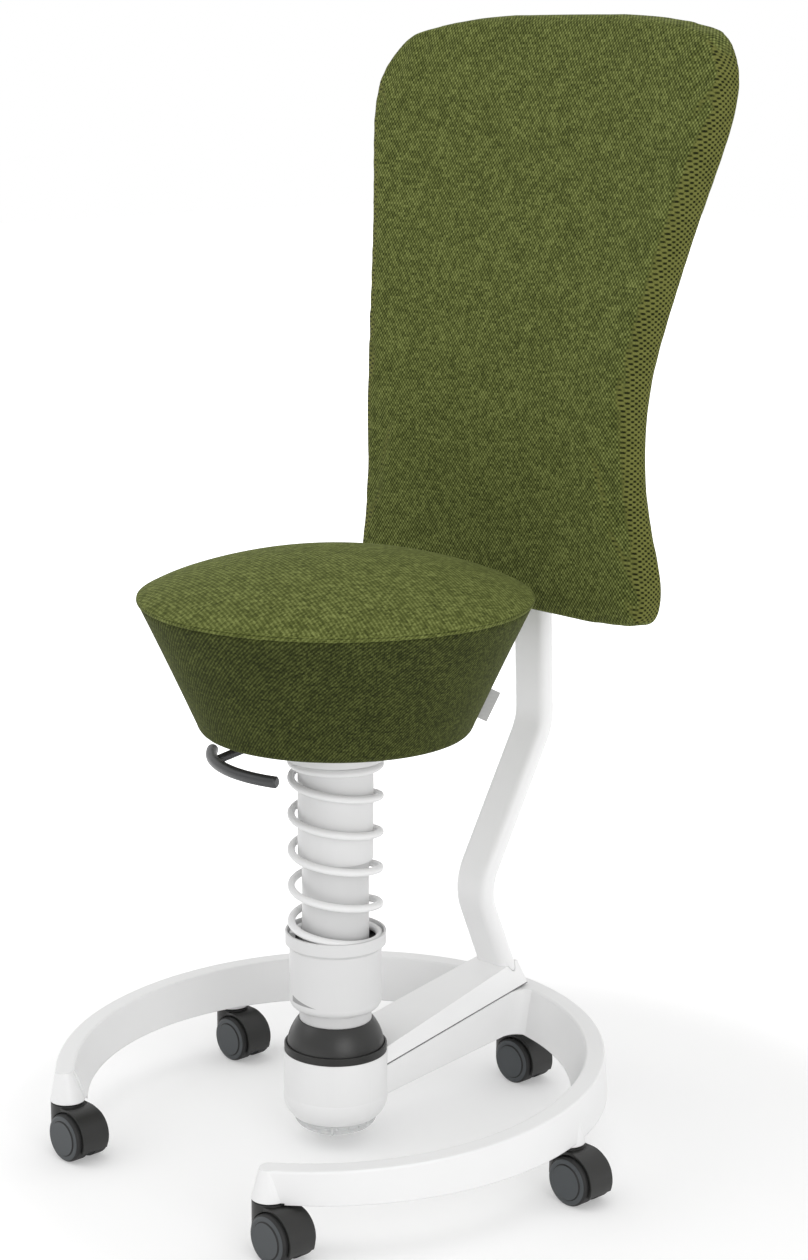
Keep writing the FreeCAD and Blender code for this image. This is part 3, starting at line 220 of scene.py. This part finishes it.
class Graph:
    """Node material around one Principled shader; inputs may be numbers, colours or sockets."""

    def __init__(self, name, **constants):
        self.material = bpy.data.materials.new(name)
        self.material.use_nodes = True
        self.tree = self.material.node_tree
        self.shader = self.tree.nodes["Principled BSDF"]
        for key, value in constants.items():
            self.put(key.replace("_", " "), value)

    def feed(self, socket, value):
        if isinstance(value, bpy.types.NodeSocket):
            self.tree.links.new(value, socket)
        elif isinstance(value, tuple) and len(value) == 3 and socket.type == "RGBA":
            socket.default_value = (*value, 1.0)
        else:
            socket.default_value = value

    def put(self, name, value):
        """Feed one input of the shader."""
        self.feed(self.shader.inputs[name], value)

    def node(self, kind, inputs, **settings):
        node = self.tree.nodes.new(kind)
        for key, value in settings.items():
            setattr(node, key, value)
        for key, value in inputs.items():
            self.feed(node.inputs[key], value)
        return node

    def math(self, operation, *values):
        inputs = dict(enumerate(values))
        return self.node("ShaderNodeMath", inputs, operation=operation).outputs[0]

    def place(self):
        """Object coordinates in millimetres, as three sockets."""
        source = self.node("ShaderNodeTexCoord", {}).outputs["Object"]
        inputs = {0: source, 1: (PER_METRE,) * 3}
        scaled = self.node("ShaderNodeVectorMath", inputs, operation="MULTIPLY")
        return self.node("ShaderNodeSeparateXYZ", {0: scaled.outputs[0]}).outputs[:]

    def spot(self):
        """Object coordinates in millimetres, as one vector."""
        return self.vector(*self.place())

    def facing(self):
        """The object's own normal, as three sockets."""
        source = self.node("ShaderNodeTexCoord", {}).outputs["Normal"]
        return self.node("ShaderNodeSeparateXYZ", {0: source}).outputs[:]

    def vector(self, x, y, z=0.0):
        return self.node("ShaderNodeCombineXYZ", {0: x, 1: y, 2: z}).outputs[0]

    def noise(self, vector, scale, detail):
        inputs = {"Vector": vector, "Scale": scale, "Detail": detail, "Roughness": 0.5}
        return self.node("ShaderNodeTexNoise", inputs).outputs["Fac"]

    def speck(self, vector):
        """One random number for each whole place."""
        node = self.node("ShaderNodeTexWhiteNoise", {"Vector": vector}, noise_dimensions="3D")
        return node.outputs["Value"]

    def step(self, value, low, high):
        """Smooth step from 0 at low to 1 at high."""
        inputs = {"Value": value, "From Min": low, "From Max": high}
        node = self.node("ShaderNodeMapRange", inputs, interpolation_type="SMOOTHSTEP")
        return node.outputs[0]

    def unit(self, wave):
        """Wave between -1 and 1, brought to between 0 and 1."""
        return self.math("MULTIPLY_ADD", wave, 0.5, 0.5)

    def between(self, factor, first, second):
        """Number between two numbers."""
        return self.node("ShaderNodeMix", {0: factor, 2: first, 3: second}).outputs[0]

    def blend(self, factor, first, second):
        """Colour between two colours."""
        inputs = {0: factor, 6: first, 7: second}
        return self.node("ShaderNodeMix", inputs, data_type="RGBA").outputs[2]

    def ramp(self, factor, *stops):
        node = self.node("ShaderNodeValToRGB", {0: factor})
        elements = node.color_ramp.elements
        for _ in stops[2:]:
            elements.new(0.5)
        for element, (position, colour) in zip(elements, stops):
            element.position = position
            element.color = (*colour, 1.0)
        return node.outputs[0]

    def bump(self, height, depth_mm, strength, rounding_mm=0.0):
        """Bump of a given depth, over edges that the shader rounds by a radius."""
        inputs = {"Strength": strength, "Distance": depth_mm * MM, "Height": height}
        if rounding_mm:
            radius = {"Radius": rounding_mm * MM}
            bevel = self.node("ShaderNodeBevel", radius, samples=BEVEL_SAMPLES)
            inputs["Normal"] = bevel.outputs[0]
        self.put("Normal", self.node("ShaderNodeBump", inputs).outputs[0])


def dress(material, *names):
    for name in names:
        slots = NODES[name].data.materials
        slots.clear()
        slots.append(material)


def nodes_ending(*ends):
    return [name for name in NODES if name.endswith(ends)]


def dimmed(colour, share):
    return tuple(share * channel for channel in colour)


def mesh_weave(graph, u, v, stitch, row):
    """Height of an open plain weave: rows of stitches that alternate."""
    across = graph.math("SINE", graph.math("MULTIPLY", u, math.pi / stitch))
    along = graph.math("SINE", graph.math("MULTIPLY", v, math.pi / row))
    return graph.unit(graph.math("MULTIPLY", across, along))


def twill_weave(graph, u, v, period, lean):
    """Height of a twill: ribs that lean, beaded along their length."""
    turn = 2 * math.pi / period
    over = graph.math("MULTIPLY_ADD", u, lean, v)
    along = graph.math("MULTIPLY_ADD", v, -lean, u)
    rib = graph.math("SINE", graph.math("MULTIPLY", over, turn))
    bead = graph.math("SINE", graph.math("MULTIPLY", along, turn * BEAD_PACE))
    swing = graph.math("MULTIPLY_ADD", bead, BEAD_DEPTH, 1.0 - BEAD_DEPTH)
    return graph.unit(graph.math("MULTIPLY", rib, swing))


def heather(graph, u, v, stitch, row):
    """Uneven yarn about 0: streaks along u in each row, odd stitches and soft clouds."""
    line = graph.math("FLOOR", graph.math("DIVIDE", v, row))
    cell = graph.math("FLOOR", graph.math("DIVIDE", u, stitch))
    run = graph.math("DIVIDE", u, STREAK_LENGTH)
    lane = graph.math("MULTIPLY", line, LANE_STEP)
    streak = graph.noise(graph.vector(run, lane), scale=1.0, detail=1.0)
    cloud = graph.noise(graph.vector(u, v), scale=0.03, detail=3.0)
    speck = graph.math("MULTIPLY", graph.speck(graph.vector(cell, line)), SPECK_SHARE)
    fine = graph.math("MULTIPLY_ADD", streak, STREAK_SHARE, speck)
    total = graph.math("MULTIPLY_ADD", cloud, CLOUD_SHARE, fine)
    return graph.math("ADD", total, -(STREAK_SHARE + SPECK_SHARE + CLOUD_SHARE) / 2)


def yarn(graph, height, contrast, uneven, colours):
    """Colour of the yarn from its height and unevenness; low places are painted darker as shade
    in the weave's hollows.
    """
    tone = graph.math("MULTIPLY_ADD", height, contrast, 0.5 - contrast / 2)
    dark, mid, light = colours
    return graph.ramp(graph.math("ADD", tone, uneven), (0.0, dark), (0.5, mid), (1.0, light))


def back_fabric():
    """Open weave on the front and the top and bottom edges, a coarser band on the sides."""
    graph = Graph("back_fabric", Sheen_Weight=0.08, Sheen_Roughness=0.45, **FABRIC)
    x, y, z = graph.place()
    facing_x, _, facing_z = graph.facing()
    on_side = graph.step(graph.math("ABSOLUTE", facing_x), low=0.16, high=0.38)
    on_edge = graph.step(graph.math("ABSOLUTE", facing_z), low=0.60, high=0.75)
    front_height = mesh_weave(graph, x, z, MESH_STITCH, MESH_ROW)
    side_height = mesh_weave(graph, y, z, BAND_STITCH, BAND_ROW)
    edge_height = mesh_weave(graph, x, y, MESH_STITCH, MESH_ROW)
    front_uneven = heather(graph, x, z, 2 * MESH_STITCH, MESH_ROW)
    front_uneven = graph.math("ADD", front_uneven, MESH_SHIFT)
    front = yarn(graph, front_height, MESH_CONTRAST, front_uneven, LEAF)
    side_uneven = heather(graph, y, z, 2 * BAND_STITCH, BAND_ROW)
    side_uneven = graph.math("MULTIPLY", side_uneven, BAND_GAIN)
    # The band's open holes are painted dark as shade
    side_tone = graph.step(side_height, low=0.1, high=0.65)
    side = yarn(graph, side_tone, BAND_CONTRAST, side_uneven, BAND)
    edge_uneven = heather(graph, x, y, 2 * MESH_STITCH, MESH_ROW)
    edge = yarn(graph, edge_height, MESH_CONTRAST, edge_uneven, LEAF)
    graph.put("Base Color", graph.blend(on_edge, graph.blend(on_side, front, side), edge))
    height = graph.between(on_side, front_height, side_height)
    height = graph.between(on_edge, height, edge_height)
    graph.bump(height, depth_mm=0.45, strength=0.6)
    return graph.material


def seat_fabric(crease_z, side_r):
    """Twill, darker below the crease (a darker fabric, deepened by painted shade on the wall
    that faces down) and with a line of stitches above it; in millimetres.
    """
    graph = Graph("seat_fabric", Sheen_Weight=0.10, Sheen_Roughness=0.4, **FABRIC)
    x, y, z = graph.place()
    _, _, facing_z = graph.facing()
    on_top = graph.math("GREATER_THAN", z, crease_z)
    faces_up = graph.step(facing_z, low=0.50, high=0.70)
    ribs = round(2 * math.pi * side_r / TWILL_PERIOD)
    turn = graph.math("ARCTAN2", y, x)
    round_way = graph.math("MULTIPLY", turn, ribs * TWILL_PERIOD / (2 * math.pi))
    flat_height = twill_weave(graph, x, y, TOP_PERIOD, TOP_LEAN)
    wall_height = twill_weave(graph, round_way, z, TWILL_PERIOD, SIDE_LEAN)
    height = graph.between(faces_up, wall_height, flat_height)
    flat_uneven = heather(graph, x, y, TOP_PERIOD / 2, TOP_PERIOD)
    wall_uneven = heather(graph, round_way, z, TWILL_PERIOD / 2, TWILL_PERIOD / 2)
    uneven = graph.between(faces_up, wall_uneven, flat_uneven)
    side_uneven = graph.math("MULTIPLY_ADD", uneven, SIDE_GAIN, SIDE_SHIFT)
    # Wall below the crease: darker fabric plus painted shade
    side = yarn(graph, height, SIDE_CONTRAST, side_uneven, WALL_TONE_AND_SHADE)
    top_uneven = graph.math("MULTIPLY_ADD", uneven, TOP_GAIN, TOP_SHIFT)
    top = yarn(graph, height, TOP_CONTRAST, top_uneven, LEAF)
    off_line = graph.math("ABSOLUTE", graph.math("SUBTRACT", z, crease_z + STITCHING_UP))
    stitching = graph.math("LESS_THAN", off_line, STITCHING_HALF)
    top = graph.blend(graph.math("MULTIPLY", stitching, STITCHING_INK), top, WALL_TONE_AND_SHADE[0])
    graph.put("Base Color", graph.blend(on_top, side, top))
    graph.bump(height, depth_mm=0.4, strength=0.6)
    return graph.material


def wedge_mark(graph):
    """Printed wedge round the cup that shows which way it tightens."""
    x, y, z = graph.place()
    turn = graph.math("ARCTAN2", y, x)
    start, end = (math.radians(angle) for angle in WEDGE_TURN)
    share = graph.math("DIVIDE", graph.math("SUBTRACT", turn, start), end - start)
    top = graph.math("MULTIPLY_ADD", share, -WEDGE_HEIGHT, WEDGE_FOOT_Z + WEDGE_HEIGHT)
    begun = graph.math("GREATER_THAN", share, 0.0)
    inside = graph.math("MULTIPLY", begun, graph.math("LESS_THAN", z, top))
    return graph.math("MULTIPLY", inside, graph.math("GREATER_THAN", z, WEDGE_FOOT_Z))


def foot_seam(graph):
    """Shadow line where the foot meets the arm of the base."""
    _, y, z = graph.place()
    level = FOOT_SEAM_Z - FOOT_SEAM_SLOPE * FOOT_SEAM_Y
    seam = graph.math("MULTIPLY_ADD", y, FOOT_SEAM_SLOPE, level)
    return graph.math("LESS_THAN", graph.math("SUBTRACT", z, seam), FOOT_SEAM_WIDTH)


def coated(name, colour, roughness, rounding_mm, peel_mm, mark=None, mark_colour=None):
    """Painted or moulded surface with fine orange peel, soft edges and at most one mark: a
    print, or a painted shadow line.
    """
    graph = Graph(name, Specular_IOR_Level=0.5)
    spot = graph.spot()
    peel = graph.noise(spot, scale=0.8, detail=2.0)
    broad = graph.noise(spot, scale=0.02, detail=3.0)
    base = graph.blend(broad, dimmed(colour, 0.965), colour)
    if mark:
        base = graph.blend(mark(graph), base, mark_colour)
    graph.put("Base Color", base)
    graph.put("Roughness", graph.math("MULTIPLY_ADD", broad, 0.1, roughness - 0.05))
    graph.bump(peel, peel_mm, strength=0.5, rounding_mm=rounding_mm)
    return graph.material


def wheel_material():
    """Dark tread with smoother, paler faces."""
    graph = Graph("caster_wheel", Specular_IOR_Level=0.45)
    spot = graph.spot()
    _, facing_y, _ = graph.facing()
    on_face = graph.step(graph.math("ABSOLUTE", facing_y), low=0.80, high=0.88)
    grain = graph.noise(spot, scale=1.4, detail=2.0)
    face = graph.blend(grain, dimmed(WHEEL_FACE, 0.9), WHEEL_FACE)
    graph.put("Base Color", graph.blend(on_face, WHEEL_TREAD, face))
    graph.put("Roughness", graph.between(on_face, 0.62, 0.42))
    graph.bump(grain, depth_mm=0.03, strength=0.5, rounding_mm=0.5)
    return graph.material


def clear_plastic():
    graph = Graph("clear_plastic", Base_Color=CLEAR, IOR=1.49, Transmission_Weight=0.45)
    haze = graph.noise(graph.spot(), scale=0.15, detail=2.0)
    graph.put("Roughness", graph.math("MULTIPLY_ADD", haze, 0.12, 0.14))
    graph.bump(haze, depth_mm=0.02, strength=0.4, rounding_mm=0.6)
    return graph.material


def brushed_steel():
    graph = Graph("steel", Metallic=1.0, Anisotropic=0.3)
    x, y, z = graph.place()
    along_x = graph.math("MULTIPLY", x, 0.15)
    along_y = graph.math("MULTIPLY", y, 0.15)
    lines = graph.noise(graph.vector(along_x, along_y, z), scale=2.5, detail=3.0)
    graph.put("Base Color", graph.blend(lines, dimmed(STEEL, 0.85), STEEL))
    graph.put("Roughness", graph.math("MULTIPLY_ADD", lines, 0.16, 0.26))
    graph.bump(lines, depth_mm=0.015, strength=0.4, rounding_mm=0.4)
    return graph.material


def plywood():
    graph = Graph("plywood", Roughness=0.6)
    x, y, z = graph.place()
    along = graph.math("MULTIPLY", x, 0.012)
    across = graph.math("MULTIPLY", y, 0.35)
    grain = graph.noise(graph.vector(along, across, z), scale=1.0, detail=4.0)
    graph.put("Base Color", graph.ramp(grain, (0.3, PLY_DARK), (0.7, PLY_PALE)))
    graph.bump(grain, depth_mm=0.1, strength=0.4, rounding_mm=0.3)
    return graph.material


def label_cloth():
    graph = Graph("label_cloth", Roughness=0.85, Sheen_Weight=0.2)
    x, y, z = graph.place()
    along = graph.math("SUBTRACT", x, y)
    height = mesh_weave(graph, along, z, LABEL_STITCH, LABEL_STITCH)
    # Painted shade: the label's weave is darker in its hollows
    graph.put("Base Color", graph.ramp(height, (0.0, dimmed(LABEL, 0.75)), (0.9, LABEL)))
    graph.bump(height, depth_mm=0.12, strength=0.5)
    return graph.material


def link(name, mesh):
    piece = bpy.data.objects.new(name, mesh)
    SCENE.collection.objects.link(piece)
    return piece


def turned(name, profile, segments):
    """Closed mesh turned about Z from (radius, z) points in metres, from axis to axis."""
    form = bmesh.new()
    turns = [2 * math.pi * index / segments for index in range(segments)]
    rings = []
    for radius, z in profile:
        if radius:
            ring = [(radius * math.cos(turn), radius * math.sin(turn), z) for turn in turns]
            rings.append([form.verts.new(point) for point in ring])
        else:
            rings.append([form.verts.new((0, 0, z))] * segments)
    for low, high in zip(rings, rings[1:]):
        for index in range(segments):
            after = (index + 1) % segments
            corners = []
            for corner in (low[index], low[after], high[after], high[index]):
                if corner not in corners:
                    corners.append(corner)
            form.faces.new(corners)
    mesh = bpy.data.meshes.new(name)
    form.to_mesh(mesh)
    form.free()
    mesh.shade_smooth()
    return link(name, mesh)


def swell(piece, held):
    """Fill a closed mesh with cloth pressure, up to a cap; held gives each vertex's hold."""
    mesh = piece.data
    start = [vertex.co.copy() for vertex in mesh.vertices]
    group = piece.vertex_groups.new(name="held")
    for vertex in mesh.vertices:
        group.add([vertex.index], held(vertex), "REPLACE")
    cloth = piece.modifiers.new("cloth", "CLOTH")
    cloth.settings.use_pressure = True
    cloth.settings.uniform_pressure_force = SWELL_PRESSURE
    cloth.settings.vertex_group_mass = group.name
    cloth.settings.effector_weights.gravity = 0.0
    for number in range(1, SWELL_FRAMES + 1):
        SCENE.frame_set(number)
    full = piece.evaluated_get(bpy.context.evaluated_depsgraph_get())
    moved = [vertex.co.copy() for vertex in full.data.vertices]
    piece.modifiers.remove(cloth)
    piece.vertex_groups.clear()
    SCENE.frame_set(1)
    for vertex, before, after in zip(mesh.vertices, start, moved):
        way = after - before
        if way.length > STILL:
            share = SWELL_CAP * math.tanh(way.length / SWELL_CAP) / way.length
            vertex.co = before + way * share


def arc(start, end, bulge, count):
    """Points after start up to end, on a curve that stands out to the right by bulge."""
    (r0, z0), (r1, z1) = start, end
    length = math.hypot(r1 - r0, z1 - z0)
    points = []
    for index in range(1, count + 1):
        t = index / count
        out = 4 * t * (1 - t) * bulge
        radius = r0 + (r1 - r0) * t + out * (z1 - z0) / length
        z = z0 + (z1 - z0) * t - out * (r1 - r0) / length
        points.append((radius, z))
    return points


def seat_cushion():
    low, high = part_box("seat_cushion")
    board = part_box("seat_board")[1].z
    rim_r = (high.x - low.x) / 2
    crease_r = rim_r - CREASE_IN
    crease_z = low.z + CREASE_UP
    crown_z = high.z - CROWN_DROP
    foot_r = rim_r - FOOT_IN
    foot_z = low.z

    def by_crease(out, up):
        """Point so many millimetres out and up from the crease."""
        return crease_r + out * MM, crease_z + up * MM

    profile = [(0.0, board), (RECESS_R, board), (RECESS_R, foot_z + LIP)]
    profile += [(RECESS_R + LIP, foot_z), (RECESS_R + FOOT_FLAT, foot_z)]
    profile += arc(profile[-1], (foot_r + FOOT_OUT, foot_z + FOOT_UP), FOOT_BULGE, FOOT_STEPS)
    profile += arc(profile[-1], by_crease(*WALL_TOP), WALL_BULGE, WALL_STEPS)
    profile += [by_crease(out, up) for out, up in CREASE_LINE]
    for index in range(ROLL_STEPS + 1):
        turn = math.radians(ROLL_TURN * index / ROLL_STEPS)
        radius = rim_r - ROLL_R * (1 - math.cos(turn))
        profile.append((radius, crease_z + ROLL_UP + ROLL_R * math.sin(turn)))
    shoulder_r, shoulder_z = profile[-1]
    rise = crown_z - shoulder_z
    for index in range(1, CROWN_STEPS):
        radius = shoulder_r * (1 - index / CROWN_STEPS)
        profile.append((radius, crown_z - rise * (radius / shoulder_r) ** CROWN_POWER))
    profile.append((0.0, crown_z))
    piece = turned("seat_cover", profile, SEAT_SEGMENTS)

    def held(vertex):
        radius, z = vertex.co.xy.length, vertex.co.z
        at_foot = z < foot_z + HELD_FOOT
        in_recess = radius < RECESS_R + MM and z < crease_z
        by_height = crease_z - HELD_BELOW < z < crease_z + HELD_ABOVE
        at_crease = by_height and radius > crease_r - HELD_IN
        return 1.0 if at_foot or in_recess or at_crease else 0.0

    swell(piece, held)
    side_r = PER_METRE * (crease_r + foot_r) / 2
    piece.data.materials.append(seat_fabric(PER_METRE * crease_z, side_r))
    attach(piece, "seat")
    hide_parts("seat_cushion")


def apply_modifiers(piece):
    view = bpy.context.evaluated_depsgraph_get()
    mesh = bpy.data.meshes.new_from_object(piece.evaluated_get(view))
    piece.modifiers.clear()
    piece.data = mesh


def back_cushion():
    piece = link("back_cover", NODES["backrest_cushion"].data.copy())
    piece.data.materials.clear()
    remesh = piece.modifiers.new("remesh", "REMESH")
    remesh.mode = "VOXEL"
    remesh.voxel_size = VOXEL
    smooth = piece.modifiers.new("smooth", "SMOOTH")
    smooth.factor = SMOOTH_FACTOR
    smooth.iterations = SMOOTH_ROUNDS
    apply_modifiers(piece)
    # Smoothing draws the outline in, so the hem is set out again
    normals = [vertex.normal.copy() for vertex in piece.data.vertices]
    for vertex, normal in zip(piece.data.vertices, normals):
        vertex.co.x += HEM_OUT * normal.x
        vertex.co.z += (HEM_TOP if normal.z > 0 else HEM_DROP) * normal.z
    piece.data.update()

    def held(vertex):
        return 1.0 if vertex.normal.y > HELD_REAR else 0.0

    swell(piece, held)
    piece.data.shade_smooth()
    finer = piece.modifiers.new("finer", "SUBSURF")
    finer.levels = 1
    finer.render_levels = 1
    piece.data.materials.append(back_fabric())
    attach(piece, "base")
    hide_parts("backrest_cushion")


def spring(material):
    piece = link("spring_wire", NODES["coil_spring"].data.copy())
    piece.data.materials.clear()
    piece.data.materials.append(material)
    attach(piece, "cup")
    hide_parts("coil_spring")
    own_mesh(piece)


def lamp(name, place, aim_z, side, power):
    data = bpy.data.lights.new(name, "AREA")
    data.shape = "RECTANGLE"
    data.size = side
    data.size_y = side
    data.energy = power
    thing = bpy.data.objects.new(name, data)
    thing.location = place
    way = Vector((0, 0, aim_z)) - Vector(place)
    thing.rotation_euler = way.to_track_quat("-Z", "Y").to_euler()
    SCENE.collection.objects.link(thing)


def seen_directly(tree):
    """1 for rays from the camera, a mirror or through glass, else 0."""
    path = tree.nodes.new("ShaderNodeLightPath")
    total = path.outputs["Is Camera Ray"]
    for name in ("Is Glossy Ray", "Is Transmission Ray"):
        either = tree.nodes.new("ShaderNodeMath")
        either.operation = "MAXIMUM"
        tree.links.new(total, either.inputs[0])
        tree.links.new(path.outputs[name], either.inputs[1])
        total = either.outputs[0]
    return total


def light_world():
    world = bpy.data.worlds.new("studio")
    world.use_nodes = True
    tree = world.node_tree
    background = tree.nodes["Background"]
    strength = tree.nodes.new("ShaderNodeMapRange")
    strength.inputs["To Min"].default_value = WORLD_LIGHT
    strength.inputs["To Max"].default_value = WORLD_SEEN
    tree.links.new(seen_directly(tree), strength.inputs["Value"])
    tree.links.new(strength.outputs[0], background.inputs["Strength"])
    background.inputs["Color"].default_value = (1, 1, 1, 1)
    SCENE.world = world


def lay_floor():
    """Floor that takes shadows near the part and fades into the white world further out."""
    form = bmesh.new()
    bmesh.ops.create_grid(form, x_segments=FLOOR_CELLS, y_segments=FLOOR_CELLS, size=FLOOR_HALF)
    mesh = bpy.data.meshes.new("floor")
    form.to_mesh(mesh)
    form.free()
    floor = link("floor", mesh)
    white = (1.0, 1.0, 1.0)
    graph = Graph("floor", Roughness=0.9, Specular_IOR_Level=0.0, Emission_Color=white)
    x, y, _ = graph.place()
    x = graph.math("SUBTRACT", x, GLOW_X)
    y = graph.math("SUBTRACT", y, GLOW_Y)
    squares = graph.math("ADD", graph.math("MULTIPLY", x, x), graph.math("MULTIPLY", y, y))
    reach = graph.math("SQRT", squares)
    direct = seen_directly(graph.tree)
    shade = graph.between(direct, FLOOR_BOUNCE, FLOOR_SEEN)
    graph.put("Base Color", graph.vector(shade, shade, shade))
    glow = graph.between(graph.step(reach, GLOW_START, GLOW_END), GLOW_NEAR, GLOW_FAR)
    graph.put("Emission Strength", graph.math("MULTIPLY", direct, glow))
    mesh.materials.append(graph.material)


def camera():
    data = bpy.data.cameras.new("camera")
    data.sensor_width = SENSOR
    data.lens = SENSOR * FOCAL / PHOTO_HEIGHT
    data.shift_x = (PHOTO_MIDDLE - AXIS_COLUMN) / PHOTO_HEIGHT
    thing = bpy.data.objects.new("camera", data)
    thing.location = CAMERA_PLACE
    thing.rotation_euler = (math.radians(90 - CAMERA_DOWN), 0, math.radians(CAMERA_TURN))
    SCENE.collection.objects.link(thing)
    SCENE.camera = thing


def dress_solids():
    """Give the frame's nodes their materials; the paint of the casting is returned."""
    paint = coated("white_paint", WHITE_PAINT, **CASTING_COAT)
    dress(paint, "base_casting", "spring_plate")
    # Painted light: the whiter paint on the bar and foot stands in for light that the seat
    # shades off them
    dress(coated("bar_paint_with_painted_light", BAR_PAINT_WITH_PAINTED_LIGHT, **CASTING_COAT), "backrest_bar")
    # Painted shadow: a dark line along the foot's seam with the arm
    dress(coated("foot_paint_with_painted_light", BAR_PAINT_WITH_PAINTED_LIGHT, **CASTING_COAT, mark=foot_seam, mark_colour=SEAM_SHADOW_GREY),
          "backrest_foot")
    # Painted shade: grey paint on the lower tube stands for the shade below the cup
    dress(coated("lower_tube_painted_shade", TUBE_GREY_WITH_PAINTED_SHADE, **TUBE_COAT), "lower_tube")
    dress(coated("white_plastic", WHITE_PLASTIC, **MOULDED), "upper_tube")
    dress(coated("cup_plastic", WHITE_PLASTIC, **MOULDED, mark=wedge_mark, mark_colour=MARK_GREY),
          "spring_cup")
    dress(coated("rubber", RUBBER, **RUBBERY), "boot", "spring_seat")
    dress(coated("black_paint", BLACK_SATIN, **SATIN_COAT),
          "seat_socket", "seat_pan", "backrest_plate", "collar_ring")
    dress(coated("black_plastic", BLACK_SATIN, **SHELL_GRAIN), "backrest_shell")
    dress(coated("lever_grey", LEVER_GREY, **LEVER_COAT), "lever")
    dress(coated("caster_black", BLACK_SATIN, **HOOD_GRAIN), *nodes_ending("_hood"))
    dress(wheel_material(), *nodes_ending("_wheel_left", "_wheel_right"))
    dress(clear_plastic(), "tilt_knob")
    dress(brushed_steel(), "hub_yoke", "pivot_cross", "column_yoke", "knob_spindle",
          "gas_cylinder", "seat_post", "valve_button", "lever_pin",
          *nodes_ending("_screws", "_stem", "_axle"))
    dress(plywood(), "seat_board")
    dress(label_cloth(), "seat_label")
    return paint


def main():
    SCENE.view_settings.view_transform = "Standard"
    camera()
    light_world()
    lay_floor()
    for settings in LAMPS:
        lamp(*settings)
    paint = dress_solids()
    spring(paint)
    seat_cushion()
    back_cushion()


main()
